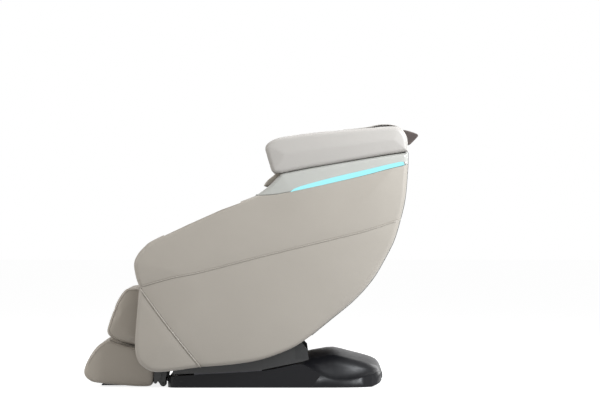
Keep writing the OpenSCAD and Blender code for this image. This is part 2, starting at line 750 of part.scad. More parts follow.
module arm_pad() {
    well_r = 24;
    color([0.5, 0.47, 0.43])
        at_slope(arm_front, arm_slope)
            difference() {
                block(well_start + 0.5, well_end - 0.5, arm_pad_y0, arm_pad_y1, -arm_well_d + 0.5, -4);
                block(well_start + arm_pad_t, well_end - arm_pad_t, arm_pad_y0 + arm_pad_t,
                    arm_pad_y1 - arm_pad_t, -arm_well_d + arm_pad_t + well_r, 10);
                block(well_start + arm_pad_t, well_end - arm_pad_t, arm_pad_y0 + arm_pad_t + well_r,
                    arm_pad_y1 - arm_pad_t - well_r, -arm_well_d + arm_pad_t, 10);
                for (y = [arm_pad_y0 + arm_pad_t + well_r, arm_pad_y1 - arm_pad_t - well_r])
                    translate([well_start + arm_pad_t, y, -arm_well_d + arm_pad_t + well_r])
                        rotate([0, 90, 0])
                            cylinder(h = well_end - well_start - 2 * arm_pad_t, r = well_r, $fn = round_fn);
            }
}
module arm_pad_right() { arm_pad(); }
module arm_pad_left() { left_side() arm_pad(); }

// ---- cushions of the seat body ----

pad_back_r = track_r - 140 * k;
pad_front_r = pad_back_r - back_pad_t;
pad_a0 = 9.15;
pad_a1 = 56.8;
// Outline of the back pad, its front surface raised by a lift and its rim drawn in by d
function back_outline(lift, d) =
    let (a0 = pad_a0 + d / 18, a1 = pad_a1 - d / 18)
    concat(arc(track_centre, pad_back_r - d / 4, a0, a1, 22),
        [track_centre + (pad_back_r - back_pad_t / 2) * [cos(a1 + 0.7), -sin(a1 + 0.7)]],
        arc(track_centre, pad_front_r - lift + d, a1, a0, 22),
        [track_centre + (pad_back_r - back_pad_t / 2) * [cos(a0 - 0.9), -sin(a0 - 0.9)]]);
// Height of a cushion's crown across its width: rounded at its sides, with two sewn channels
function pad_lift(y, hw, channel, rise, dip) =
    rise * (1 - pow(y / hw, 2)) - dip * (exp(-pow((abs(y) - channel) / 6, 2)));
function pad_draw(y, hw) = 22 * pow(max(abs(y) - (hw - 26), 0) / 26, 2.4);
back_pad_ys = [1, 0.985, 0.95, 0.9, 0.8, 0.52, 0.47, 0.445, 0.42, 0.36, 0.18];
function both_ways(v) = concat([for (q = v) -q], [0], flip(v));
module back_pad() {
    hw = back_pad_hw;
    color([0.55, 0.51, 0.47])
        resize([0, 0, 0])
            loft([for (s = both_ways(back_pad_ys))
                let (y = s * hw)
                ring(back_outline(pad_lift(y, hw, 0.445 * hw, 8, 8), pad_draw(y, hw)), y)]);
}
seat_nose_r = 27 * k;
seat_base_z = seat_tubes[0][1] + tube_r + seat_board_t + clear_gap;
function seat_outline(lift, d) =
    concat(
        [for (a = [-90 : 22.5 : 60]) knee + [8 * k, 0] + (seat_nose_r - d * 0.5) * [-cos(a), sin(a)]],
        line_spline([knee + k * [20, 26] + [0, lift * 0.6 - d * 0.5], k * [-270, 460] + [0, lift - d * 0.5],
            k * [-180, 440] + [0, lift - d * 0.5], k * [-90, 430] + [0, lift - d * 0.5],
            k * [-50, 426] + [-d * 0.3, -d * 0.5]], 3),
        [[-36 * k - d * 0.3, seat_base_z + 10], [-42 * k - d * 0.3, seat_base_z],
            [-336 * k + d * 0.3, seat_base_z]]);
seat_pad_ys = [1, 0.985, 0.95, 0.9, 0.8, 0.5, 0.46, 0.42, 0.38, 0.2];
module seat_pad() {
    hw = y_seat - 3;
    color([0.5, 0.46, 0.42])
        resize([0, 0, 0])
            loft([for (s = both_ways(seat_pad_ys))
                let (y = s * hw)
                ring(seat_outline(pad_lift(y, hw, 0.46 * hw, 8, 7), pad_draw(y, hw)), y)]);
}
pillow_hw = 150;
function pillow_outline(lift, d) =
    let (a0 = 10.6 + d / 18, a1 = 20 - d / 18, r0 = pad_front_r - 8.5)
    concat(arc(track_centre, r0 - d * 0.2, a0, a1, 8),
        [track_centre + (r0 - 26) * [cos(a1 + 1.2), -sin(a1 + 1.2)]],
        [for (i = [0 : 8]) let (a = a1 + (a0 - a1) * i / 8)
            track_centre + (r0 - 46 - lift * (1 - pow(i / 4 - 1, 2)) + d) * [cos(a), -sin(a)]],
        [track_centre + (r0 - 26) * [cos(a0 - 1.2), -sin(a0 - 1.2)]]);
pillow_ys = [1, 0.97, 0.9, 0.8, 0.6, 0.3];
module head_pillow() {
    color([0.6, 0.56, 0.52])
        resize([0, 0, 0])
            loft([for (s = both_ways(pillow_ys))
                let (y = s * pillow_hw)
                ring(pillow_outline(16 * (1 - s * s), pad_draw(y, pillow_hw)), y)]);
}
flap_hw = 140;
flap_t = 6;
flap_line = line_spline(scaled([[386, 1094], [440, 1099], [494, 1105], [549, 1116], [604, 1113], [640, 1095],
    [653, 1072], [664, 1030]]), 3);
module pillow_flap() {
    inner = [for (i = [0 : len(flap_line) - 1]) flap_line[i] + flap_t * unit_normal(flap_line, i)];
    color([0.78, 0.76, 0.74])
        profile(concat(flap_line, flip(inner)), -flap_hw, flap_hw);
}
weight_side = concat(
    [for (i = [15 : 21]) flap_line[i] - clear_gap * unit_normal(flap_line, i)],
    scaled([[673, 1028], [690, 1045], [708, 1064], [711, 1069], [707, 1075], [690, 1082], [665, 1090]]));
module flap_weight() {
    color([0.2, 0.16, 0.14])
        profile(weight_side, -flap_hw + 8, flap_hw - 8);
}
shoulder_points = scaled([[46, 846], [62, 842], [100, 850], [140, 880], [250, 905], [340, 940], [352, 1000],
    [340, 1056], [240, 1062], [130, 1044], [86, 1022], [72, 992], [80, 950], [100, 912], [66, 880]]);
shoulder_loop = loop_spline(shoulder_points, 2);
shoulder_centre = k * [220, 975];
module shoulder_pads() {
    color([0.5, 0.47, 0.44])
        resize([0, 0, 0])
            both_sides()
                loft([for (r = [[y_seat - 27, 0.36], [y_seat - 24, 0.2], [y_seat - 17, 0.08],
                    [y_seat - 6, 0.02], [y_seat + 10, 0], [y_board - 12, 0], [y_board - 0.3, 0.04]])
                    ring(shoulder_loop, r[0], 0, r[1], shoulder_centre)]);
}

// ---- electronics and controls ----

module control_box() {
    color([0.12, 0.12, 0.13])
        difference() {
            block(-314 * k, -112 * k, -y_seat + 14, leg_y - 32, 312 * k, seat_tubes[0][1] - tube_r);
            for (i = [0 : 5])
                block((-265 + 20 * i) * k, (-255 + 20 * i) * k, -y_seat + 12, -y_seat + 17, 322 * k, 352 * k);
        }
}
module air_pump() {
    top = seat_tubes[0][1] - tube_r;
    color([0.3, 0.3, 0.32]) {
        block(-290 * k, -110 * k, 70, 200, top - 44 * k, top);
        for (x = [-250, -150])
            translate([x * k, 135, top - 96 * k])
                cylinder(h = 52 * k, r = 36 * k, $fn = round_fn);
    }
}
pad_at = k * [-280, 590];
module control_pad() {
    color([0.05, 0.05, 0.06])
        difference() {
            at_slope(pad_at, arm_slope) {
                block(-50, 50, y_seat - 8, y_seat, -20, 20);
                for (x = [-50, 50])
                    bar([x, 0], 20, y_seat - 8, y_seat);
            }
            at_slope(pad_at, arm_slope) {
                bar([-42, 0], 11, y_seat - 9, y_seat - 3);
                block(-15, 45, y_seat - 9, y_seat - 3, -9, 9);
            }
        }
}
module key_power() {
    color([0.75, 0.75, 0.78])
        at_slope(pad_at, arm_slope)
            bar([-42, 0], 11 - clear_gap, y_seat - 9.5, y_seat - 5);
}
module key_recline() {
    color([0.75, 0.75, 0.78])
        at_slope(pad_at, arm_slope)
            difference() {
                block(-15 + clear_gap, 45 - clear_gap, y_seat - 9.5, y_seat - 5, -9 + clear_gap, 9 - clear_gap);
                bar([15, 0], 4, y_seat - 11, y_seat - 8.8);
            }
}

// ---- massage carriage ----

module at_carriage() {
    translate([track_centre[0], 0, track_centre[1]])
        rotate([0, carriage_angle, 0])
            children();
}
shaft_x = track_r - 22;
roller_x = track_r - 92;
roller_z = 70;
arm_y = 88;
arm_t = 12;
cheek_y = y_seat - 37;
module carriage_frame() {
    color([0.35, 0.36, 0.38])
        difference() {
            union() {
                at_carriage() {
                    block(track_r + 14, track_r + 20, -cheek_y - 6, cheek_y + 6, -96, 96);
                    both_sides() {
                        block(shaft_x - 22, track_r + 20, cheek_y, cheek_y + 6, -34, 34);
                        block(track_r - 30, track_r + 20, cheek_y, cheek_y + 6, -96, 96);
                    }
                    translate([track_r + 44, 30, -30])
                        rotate([90, 0, 0])
                            cylinder(h = 120, r = 26, $fn = round_fn);
                    block(track_r + 20, track_r + 60, 36, 96, -50, 30);
                    block(track_r + 20, track_r + 44, -170, -110, -20, 60);
                }
                translate([track_centre[0], 0, track_centre[1]])
                    rotate([90, 0, 0])
                        rotate([0, 0, -carriage_angle - 5])
                            for (r = [[track_r - 22, 13.7], [track_r + 8.3, 12]])
                                for (side = [0, 1])
                                    translate([0, 0, side ? cheek_y + 5 : -cheek_y - 27])
                                        rotate_extrude(angle = 10, $fn = 180)
                                            translate([r[0], 0])
                                                square([r[1], 22]);
            }
            at_carriage()
                bar([shaft_x, 0], shaft_r + run_fit, -cheek_y - 8, cheek_y + 8);
        }
}
module knead_shaft() {
    color([0.72, 0.72, 0.74])
        at_carriage() {
            bar([shaft_x, 0], shaft_r, -cheek_y - 6, cheek_y + 6);
            for (y = [-arm_y - 26, -arm_y + 14, arm_y - 26, arm_y + 14])
                bar([shaft_x, 0], shaft_r + 9, y, y + 12);
            bar([shaft_x, 0], 32, -12, 12);
        }
}
function arm_outline() =
    [[shaft_x + 24, -16], [shaft_x + 24, 16], [shaft_x, 34], [roller_x + 8, roller_z + 14],
        [roller_x - 12, roller_z + 8], [roller_x - 12, roller_z - 10], [shaft_x - 30, 14], [shaft_x - 30, -14],
        [roller_x - 12, -roller_z + 10], [roller_x - 12, -roller_z - 8], [roller_x + 8, -roller_z - 14],
        [shaft_x, -34]];
module massage_arm(y) {
    color([0.15, 0.15, 0.16])
        at_carriage() {
            difference() {
                profile(loop_spline(arm_outline(), 3), y - arm_t / 2, y + arm_t / 2);
                bar([shaft_x, 0], shaft_r + run_fit, y - 20, y + 20);
            }
            out = y > 0 ? 1 : -1;
            for (z = [-roller_z, roller_z])
                bar([roller_x, z], 6, min(y, y + out * (arm_t / 2 + roller_w + 2)),
                    max(y, y + out * (arm_t / 2 + roller_w + 2)));
        }
}
module massage_arm_right() { massage_arm(arm_y); }
module massage_arm_left() { massage_arm(-arm_y); }
// Section of a massage roller, with a crowned tread
tread_crown = 6;
roller_section = concat([[6 + run_fit, -roller_w / 2], [roller_r - tread_crown, -roller_w / 2]],
    [for (i = [-3 : 3]) [roller_r - tread_crown * pow(i / 3.4, 2), i * roller_w / 6.6]],
    [[roller_r - tread_crown, roller_w / 2], [6 + run_fit, roller_w / 2]]);
module massage_roller(side, level) {
    color([0.35, 0.3, 0.27])
        at_carriage()
            translate([roller_x, side * (arm_y + arm_t / 2 + 1 + roller_w / 2), level * roller_z])
                rotate([90, 0, 0])
                    rotate_extrude($fn = round_fn)
                        polygon(roller_section);
}
module roller_upper_left() { massage_roller(-1, 1); }
module roller_upper_right() { massage_roller(1, 1); }
module roller_lower_left() { massage_roller(-1, -1); }
module roller_lower_right() { massage_roller(1, -1); }

// ---- calf rest ----

channel_y0 = calf_divider_w / 2;
channel_y1 = channel_y0 + calf_channel_w;
calf_front = scaled([[-400, 424], [-480, 426], [-518, 425], [-542, 413], [-570, 373], [-594, 317], [-611, 262],
    [-616, 240], [-611, 221], [-596, 209], [-574, 195], [-526, 181], [-488, 173], [-440, 162]]);
calf_rear_low = k * [-436, 162];
calf_rear_high = k * [-398, 400];
calf_side = concat([calf_front[0]], line_spline([for (i = [1 : len(calf_front) - 2]) calf_front[i]], 2),
    [calf_rear_low, calf_rear_high]);
calf_centre = k * [-500, 300];
module calf_side_pad() {
    t = leg_hw - channel_y1;
    color([0.53, 0.49, 0.45])
        resize([0, 0, 0])
            loft([for (r = [[0, 4, 0], [3, 1, 0], [10, 0, 0], [t - 22, 0, 0], [t - 12, 2, 0], [t - 5, 7, 0.02],
                [t - 1.5, 12, 0.12], [t, 14, 0.35]])
                ring(calf_side, channel_y1 + r[0], r[1], r[2], calf_centre)]);
}
module calf_pad_right() { calf_side_pad(); }
module calf_pad_left() { left_side() calf_side_pad(); }
module calf_divider() {
    hw = channel_y0;
    color([0.5, 0.46, 0.42])
        resize([0, 0, 0])
            loft([for (r = [[-1, 16, 0.06], [-0.94, 8, 0.02], [-0.8, 3, 0], [-0.55, 1, 0], [0, 0, 0],
                [0.55, 1, 0], [0.8, 3, 0], [0.94, 8, 0.02], [1, 16, 0.06]])
                ring(calf_side, r[0] * (hw - 1), r[1], r[2], calf_centre)]);
}
calf_shell_side = concat([calf_rear_low + [clear_gap, -1], calf_rear_high + [clear_gap, 1]],
    scaled([[-372, 404], [-346, 380], [-350, 320], [-362, 240], [-386, 148]]));
channel_floor = scaled([[-428, 396], [-552, 190], [-540, 186], [-436, 160], [-396, 401]]);
calf_lug_side = scaled([[-394, 300], [-396, 400], [-386, 470], [-344, 470], [-346, 380], [-354, 300]]);
calf_arm_side = scaled([[-394, 300], [-396, 390], [-350, 390], [-354, 300]]);
rod_y = leg_hw - 27;
foot_rod_r = 8;
rod_top = k * [-361, 343];
rod_run = 296 * k;
module calf_shell() {
    color([0.1, 0.1, 0.1])
        difference() {
            union() {
                difference() {
                    profile(calf_shell_side, -leg_hw + 2, leg_hw - 2);
                    for (y = [[-rod_y + 18, -126], [-70, -30], [-24, 60], [66, rod_y - 18]])
                        profile(inset(clockwise(calf_shell_side), 5), y[0], y[1]);
                }
                both_sides()
                    profile(channel_floor, channel_y0 + 1, channel_y1 - 1);
                both_sides() {
                    profile(calf_lug_side, y_seat + liner_t + 1, y_plate - 0.4);
                    profile(calf_arm_side, leg_hw - 8, y_plate - 0.4);
                }
                for (y = [leg_y - 20, leg_y + 14])
                    bar(knee + leg_lug, lug_hole_r + 7, y, y + 6);
            }
            both_sides()
                bar(knee, knee_r + run_fit, y_seat, y_plate);
            for (y = [leg_y - 21, leg_y + 13])
                bar(knee + leg_lug, lug_hole_r, y, y + 8);
            both_sides()
                translate([rod_top[0], rod_y, rod_top[1]])
                    rotate([0, 180 + leg_tilt, 0])
                        cylinder(h = rod_run, r = foot_rod_r + run_fit, $fn = round_fn);
            profile([knee + leg_lug + [-30, -44], knee + leg_lug + [-30, 26], knee + leg_lug + [60, 26],
                knee + leg_lug + [60, -44]], leg_y - 14, leg_y + 14);
        }
}

// ---- foot rest ----

foot_loop = corner_loop([
    scaled([[-600, 203], [-623, 196], [-656, 172], [-686, 130], [-704, 92], [-710, 66], [-704, 46], [-686, 30],
        [-661, 21], [-575, 12], [-502, 6], [-440, 5], [-420, 14], [-414, 40], [-413, 90], [-410, 150]]),
    scaled([[-410, 150], [-488, 168], [-526, 176], [-575, 191], [-600, 203]])], 2);
foot_centre = k * [-550, 95];
well_side = scaled([[-446, 54], [-648, 54], [-664, 64], [-672, 84], [-684, 118], [-760, 180], [-600, 330],
    [-430, 260], [-432, 150], [-440, 100]]);
sole_at = k * [-560, 50];
sole_r = 14;
sole_shaft_r = 4;
module foot_cover() {
    color([0.49, 0.46, 0.42])
        resize([0, 0, 0])
            difference() {
                loft([for (r = [[-1, 12, 0.3], [-0.997, 9, 0.06], [-0.985, 4, 0], [-0.965, 1, 0], [-0.93, 0, 0],
                    [0.93, 0, 0], [0.965, 1, 0], [0.985, 4, 0], [0.997, 9, 0.06], [1, 12, 0.3]])
                    ring(foot_loop, r[0] * leg_hw, r[1], r[2], foot_centre)]);
                both_sides()
                    profile(well_side, channel_y0 + 4, channel_y1 - 4);
                block(-640 * k, -436 * k, -leg_hw + 30, leg_hw - 30, -5, 46 * k);
                both_sides() {
                    bar(sole_at, sole_r + 3, channel_y0 + 22, channel_y1 - 12);
                    bar(sole_at, sole_shaft_r + clear_gap, -1, channel_y1 + 6);
                    translate([rod_top[0], rod_y, rod_top[1]])
                        rotate([0, 180 + leg_tilt, 0])
                            cylinder(h = rod_run + 1, r = foot_rod_r + 0.5, $fn = 24);
                }
            }
}
floor_roller_at = k * [-375, 19];
guide_roller_at = k * [-368, 68];
roller_hub_r = 4;
roller_y = leg_hw - 60;
roller_len = 34;
hanger_side = scaled([[-400, 30], [-400, 96], [-376, 86], [-358, 74], [-360, 58], [-366, 30], [-366, 12],
    [-384, 8]]);
module foot_base() {
    color([0.08, 0.08, 0.08]) {
        block(-636 * k, -440 * k, -leg_hw + 34, leg_hw - 34, 8 * k, 13 * k);
        for (y = [-leg_hw + 36, -6, leg_hw - 48])
            block(-632 * k, -444 * k, y, y + 12, 13 * k, 46 * k - clear_gap);
        difference() {
            union() {
                profile(scaled([[-413.4, 40], [-412.4, 90], [-409.5, 147], [-392, 144], [-384, 120], [-384, 44],
                    [-404, 16], [-413, 18]]), -leg_hw + 6, leg_hw - 6);
                both_sides() {
                    profile(hanger_side, roller_y - 6, roller_y - 1);
                    profile(hanger_side, roller_y + roller_len + 1, roller_y + roller_len + 6);
                    translate([rod_top[0], rod_y, rod_top[1]])
                        rotate([0, 180 + leg_tilt, 0])
                            cylinder(h = rod_run, r = foot_rod_r, $fn = round_fn);
                }
            }
            both_sides()
                for (at = [floor_roller_at, guide_roller_at])
                    bar(at, roller_hub_r + run_fit, roller_y - 8, roller_y + roller_len + 8);
        }
    }
}
foot_pad_side = scaled([[-452, 58], [-640, 58], [-660, 70], [-668, 92], [-640, 130], [-560, 150], [-452, 120]]);
module foot_pads() {
    color([0.45, 0.41, 0.37])
        both_sides()
            for (y = [channel_y0 + 4 + clear_gap, channel_y1 - 18 - clear_gap])
                profile(foot_pad_side, y, y + 14);
}
module sole_rollers() {
    color([0.2, 0.2, 0.2]) {
        bar(sole_at, sole_shaft_r, -channel_y1 - 5, channel_y1 + 5);
        both_sides()
            for (i = [0 : 4])
                bar(sole_at, sole_r - (i % 2) * 4, channel_y0 + 26 + 22 * i, channel_y0 + 26 + 22 * (i + 1));
    }
}
module roller_pair(at, r) {
    color([0.12, 0.12, 0.12]) {
        bar(at, roller_hub_r, -roller_y - roller_len - 8, roller_y + roller_len + 8);
        both_sides()
            bar(at, r, roller_y, roller_y + roller_len);
    }
}
module floor_rollers() { roller_pair(floor_roller_at, 15); }
module guide_rollers() { roller_pair(guide_roller_at, 13); }

base_frame();
base_cover();
shrouds();
rear_brackets();
base_feet();
transport_wheels();
power_inlet();
power_switch();
recline_motor();
recline_rod();
main_frame();
side_boards();
side_panel_upper_left();
side_panel_upper_right();
side_panel_lower_left();
side_panel_lower_right();
accent_trim_left();
accent_trim_right();
light_bars();
hood_wing_left();
hood_wing_right();
hood_center();
back_cover();
arm_pad_left();
arm_pad_right();
arm_liners();
seat_board();
seat_pad();
back_pad();
head_pillow();
pillow_flap();
flap_weight();
shoulder_pads();
track_rails();
control_box();
air_pump();
control_pad();
key_power();
key_recline();
carriage_frame();
knead_shaft();
massage_arm_left();
massage_arm_right();
roller_upper_left();
roller_upper_right();
roller_lower_left();
roller_lower_right();
calf_shell();
calf_pad_left();
calf_pad_right();
calf_divider();
leg_motor();
leg_rod();
foot_cover();
foot_base();
foot_pads();
sole_rollers();
floor_rollers();
guide_rollers();
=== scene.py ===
import json
import math
import bmesh
import bpy
import numpy as np
from mathutils import Matrix, Vector
from mathutils.bvhtree import BVHTree


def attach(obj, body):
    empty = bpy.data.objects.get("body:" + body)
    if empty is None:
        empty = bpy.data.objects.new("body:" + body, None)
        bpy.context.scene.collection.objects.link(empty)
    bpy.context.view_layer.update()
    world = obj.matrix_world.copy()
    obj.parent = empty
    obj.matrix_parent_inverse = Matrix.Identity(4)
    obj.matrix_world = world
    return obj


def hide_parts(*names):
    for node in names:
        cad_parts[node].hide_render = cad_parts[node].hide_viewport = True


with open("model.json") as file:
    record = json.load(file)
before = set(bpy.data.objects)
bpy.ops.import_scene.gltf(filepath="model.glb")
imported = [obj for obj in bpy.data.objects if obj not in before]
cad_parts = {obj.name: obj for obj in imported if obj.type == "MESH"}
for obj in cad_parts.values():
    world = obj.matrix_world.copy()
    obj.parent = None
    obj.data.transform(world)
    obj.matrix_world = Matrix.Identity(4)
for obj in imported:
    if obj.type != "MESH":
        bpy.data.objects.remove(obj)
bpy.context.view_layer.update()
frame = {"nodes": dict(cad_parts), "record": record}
nodes = frame["nodes"]
scene = bpy.context.scene
print("frame loaded:", len(nodes), "nodes")

# camera, stage and light: the camera stands far off and square on to the side

cameraAt = {"lens": 200, "sensor": 36, "place": (0.20475, -14.35, 0.7938)}
stageLook = {"size": 30, "worldLight": 0.27, "floorGlow": 0.85, "floorColor": (0.5, 0.5, 0.5)}
lamps = {
    "rearKey": {"place": (2.4, -1.9, 2.0), "aim": (0.5, -0.4, 0.85), "size": 1.3, "watts": 150,
                "color": (0.93, 0.965, 1)},
    "frontFill": {"place": (-3.0, -1.5, 1.5), "aim": (-0.4, -0.3, 0.45), "size": 1.8, "watts": 50,
                  "color": (1, 0.985, 0.96)},
    "topSoft": {"place": (0.2, 0.2, 3.2), "aim": (0.1, 0, 0.5), "size": 2.6, "watts": 40,
                "color": (1, 1, 1)},
    "rearRim": {"place": (2.6, 2.4, 1.8), "aim": (0.3, 0, 0.6), "size": 1.6, "watts": 42,
                "color": (1, 1, 1)},
}


def addNode(tree, kind, inputs=(), **settings):  # a shader node with its sockets and settings filled in
    made = tree.nodes.new(kind)
    for key, value in settings.items():
        setattr(made, key, value)
    for key, value in dict(inputs).items():
        made.inputs[key].default_value = value
    return made


def makeCamera():
    data = bpy.data.cameras.new("camera")
    data.lens = cameraAt["lens"]
    data.sensor_width = cameraAt["sensor"]
    camera = bpy.data.objects.new("camera", data)
    camera.location = cameraAt["place"]
    camera.rotation_euler = (math.pi / 2, 0, 0)
    scene.collection.objects.link(camera)
    scene.camera = camera
    scene.view_settings.view_transform = "Standard"


def backgroundRays(tree):  # 1 for camera, glossy and transmission rays
    path = addNode(tree, "ShaderNodeLightPath")
    direct = addNode(tree, "ShaderNodeMath", operation="MAXIMUM")
    tree.links.new(path.outputs["Is Camera Ray"], direct.inputs[0])
    tree.links.new(path.outputs["Is Glossy Ray"], direct.inputs[1])
    seen = addNode(tree, "ShaderNodeMath", operation="MAXIMUM")
    tree.links.new(direct.outputs[0], seen.inputs[0])
    tree.links.new(path.outputs["Is Transmission Ray"], seen.inputs[1])
    return seen.outputs[0]


def makeWorld():  # soft light all round, and white where the background shows
    world = bpy.data.worlds.new("studio")
    world.use_nodes = True
    scene.world = world
    tree = world.node_tree
    tree.nodes.clear()
    white = (1, 1, 1, 1)
    light = addNode(tree, "ShaderNodeBackground", {"Color": white, "Strength": stageLook["worldLight"]})
    shown = addNode(tree, "ShaderNodeBackground", {"Color": white})
    mix = addNode(tree, "ShaderNodeMixShader")
    out = addNode(tree, "ShaderNodeOutputWorld")
    tree.links.new(backgroundRays(tree), mix.inputs[0])
    tree.links.new(light.outputs[0], mix.inputs[1])
    tree.links.new(shown.outputs[0], mix.inputs[2])
    tree.links.new(mix.outputs[0], out.inputs["Surface"])


def makeFloor():  # a pale floor that keeps the shadow
    bm = bmesh.new()
    bmesh.ops.create_grid(bm, x_segments=1, y_segments=1, size=stageLook["size"])
    floor = newObject("floor", bm)
    material = bpy.data.materials.new("paleFloor")
    material.use_nodes = True
    tree = material.node_tree
    tree.nodes.clear()
    paint = addNode(tree, "ShaderNodeBsdfDiffuse", {"Color": (*stageLook["floorColor"], 1)})
    glow = addNode(tree, "ShaderNodeEmission")
    both = addNode(tree, "ShaderNodeAddShader")
    share = addNode(tree, "ShaderNodeMath", {1: stageLook["floorGlow"]}, operation="MULTIPLY")
    out = addNode(tree, "ShaderNodeOutputMaterial")
    tree.links.new(backgroundRays(tree), share.inputs[0])
    tree.links.new(share.outputs[0], glow.inputs["Strength"])
    tree.links.new(paint.outputs[0], both.inputs[0])
    tree.links.new(glow.outputs[0], both.inputs[1])
    tree.links.new(both.outputs[0], out.inputs["Surface"])
    floor.data.materials.append(material)


def makeLamps():
    for name, lamp in lamps.items():
        data = bpy.data.lights.new(name, "AREA")
        data.size = lamp["size"]
        data.energy = lamp["watts"]
        data.color = lamp["color"]
        light = bpy.data.objects.new(name, data)
        light.location = lamp["place"]
        way = Vector(lamp["aim"]) - Vector(lamp["place"])
        light.rotation_euler = way.to_track_quat("-Z", "Y").to_euler()
        scene.collection.objects.link(light)
    print("stage made:", len(lamps), "lamps")


# tools for lines and shapes

sameSpot = 1e-5  # vertices closer than this are merged
formAngle, skinAngle = 40, 50  # degrees past which an edge stays sharp, on a form and on a leather skin


def smoothed(mesh, sharp):
    mesh.shade_smooth()
    mesh.set_sharp_from_angle(angle=math.radians(sharp))


def newObject(name, bm, slot=None, sharp=formAngle):
    mesh = bpy.data.meshes.new(name)
    bm.to_mesh(mesh)
    bm.free()
    smoothed(mesh, sharp)
    made = bpy.data.objects.new(name, mesh)
    scene.collection.objects.link(made)
    if slot:
        mesh.materials.append(finish[slot])
    return made


def meshOf(made):
    view = bpy.context.evaluated_depsgraph_get()
    return bpy.data.meshes.new_from_object(made.evaluated_get(view))


def applied(made, sharp=formAngle):  # works the modifiers into the mesh
    mesh = meshOf(made)
    made.modifiers.clear()
    made.data = mesh
    smoothed(mesh, sharp)
    return made


def addWall(made, thickness):  # gives a skin its thickness, on the inside
    wall = made.modifiers.new("wall", "SOLIDIFY")
    wall.thickness = thickness
    wall.offset = -1


def grownVerts(grown):  # the vertices that an extrusion made
    return [g for g in grown["geom"] if isinstance(g, bmesh.types.BMVert)]


def spline(points, steps=8):  # a smooth line through points given in millimetres
    p = np.array(points, float) / 1000
    p = np.vstack([p[0], p, p[-1]])
    line = []
    for a, b, c, d in zip(p[:-3], p[1:-2], p[2:-1], p[3:]):
        for t in np.arange(steps) / steps:
            line.append(0.5 * (2 * b + (c - a) * t + (2 * a - 5 * b + 4 * c - d) * t * t
                               + (3 * b - a - 3 * c + d) * t ** 3))
    line.append(p[-1])
    return np.array(line)


def chain(*parts):  # smooth lines joined at corners
    lines = [spline(p) for p in parts]
    return np.vstack([lines[0]] + [line[1:] for line in lines[1:]])


def along(line, t):  # points of a line at shares t of its length
    steps = np.linalg.norm(np.diff(line, axis=0), axis=1)
    run = np.concatenate([[0], np.cumsum(steps)])
    places = np.asarray(t) * run[-1]
    return np.stack([np.interp(places, run, line[:, i]) for i in range(line.shape[1])], axis=-1)


def distance(line, points):  # from each point to the nearest place on a line
    best = np.full(len(points), np.inf)
    for start, end in zip(line[:-1], line[1:]):
        way = end - start
        t = np.clip(((points - start) @ way) / max(way @ way, 1e-12), 0, 1)
        best = np.minimum(best, np.linalg.norm(points - start - t[:, None] * way, axis=1))
    return best


def quarterRound(d, r):  # height of a rounded edge of radius r at distance d from the edge
    return r * np.sqrt(np.clip(1 - (1 - np.minimum(d / r, 1)) ** 2, 0, 1))


def eased(t):  # shares that crowd towards both ends
    return 0.5 - 0.5 * np.cos(np.pi * t)


def gridShares(made):  # how far along and across its grid each vertex stands, from 0 to 1
    flat = np.clip(np.array([v.co[:2] for v in made]) + 0.5, 0, 1)
    return eased(flat[:, 0]), eased(flat[:, 1])


def mirrored(made, name):  # the same piece on the other side
    other = made.copy()
    other.name = name
    other.data = made.data.copy()
    scene.collection.objects.link(other)
    bm = bmesh.new()
    bm.from_mesh(other.data)
    bmesh.ops.transform(bm, matrix=Matrix.Scale(-1, 4, (0, 1, 0)), verts=bm.verts)
    bmesh.ops.reverse_faces(bm, faces=bm.faces)
    bm.to_mesh(other.data)
    bm.free()
    return other


def bothSides(made):
    return made, mirrored(made, made.name.replace("Right", "Left"))


def bead(name, points, radius, slot):  # piping or a trim bead along points
    data = bpy.data.curves.new(name, "CURVE")
    data.dimensions = "3D"
    data.bevel_depth = radius
    data.bevel_resolution = 4
    data.use_fill_caps = True
    line = data.splines.new("POLY")
    line.points.add(len(points) - 1)
    for place, p in zip(line.points, points):
        place.co = (*p, 1)
    rope = bpy.data.objects.new(name, data)
    scene.collection.objects.link(rope)
    mesh = meshOf(rope)
    bpy.data.objects.remove(rope)
    mesh.shade_smooth()
    made = bpy.data.objects.new(name, mesh)
    scene.collection.objects.link(made)
    mesh.materials.clear()
    mesh.materials.append(finish[slot])
    return made


def settled(made, body, slot, *replaced):  # says what a piece moves with and which CAD nodes it replaces
    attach(made, body)
    if replaced:
        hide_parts(*replaced)


# finishes

colors = {
    "panelLeather": (0.322, 0.293, 0.255),
    "hoodLeather": (0.37, 0.35, 0.327),
    "seatLeather": (0.36, 0.325, 0.28),
    "legLeather": (0.325, 0.29, 0.246),
    "accent": (0.375, 0.375, 0.348),
    "cyan": (0.36, 0.86, 0.91),
    "blackPlastic": (0.006, 0.006, 0.0072),
    "rubber": (0.018, 0.018, 0.018),
    "rollerRubber": (0.06, 0.045, 0.035),
    "darkSteel": (0.07, 0.072, 0.078),
    "steel": (0.55, 0.55, 0.56),
    "casing": (0.035, 0.036, 0.04),
    "switch": (0.45, 0.01, 0.01),
    "silver": (0.5, 0.5, 0.52),
    "wood": (0.04, 0.031, 0.025),
    "weave": (0.075, 0.055, 0.048),
}


def newMaterial(name):
    material = bpy.data.materials.new(name)
    material.use_nodes = True
    tree = material.node_tree
    where = addNode(tree, "ShaderNodeTexCoord").outputs["Object"]
    return material, tree, tree.nodes["Principled BSDF"], where


def tone(color, share):
    return (*[min(c * share, 1) for c in color], 1)


def colorMix(tree, shader, factor, color, dark, light):  # a base colour between two tones
    mix = addNode(tree, "ShaderNodeMix", data_type="RGBA")
    mix.inputs["A"].default_value = tone(color, dark)
    mix.inputs["B"].default_value = tone(color, light)
    tree.links.new(factor, mix.inputs["Factor"])
    tree.links.new(mix.outputs["Result"], shader.inputs["Base Color"])


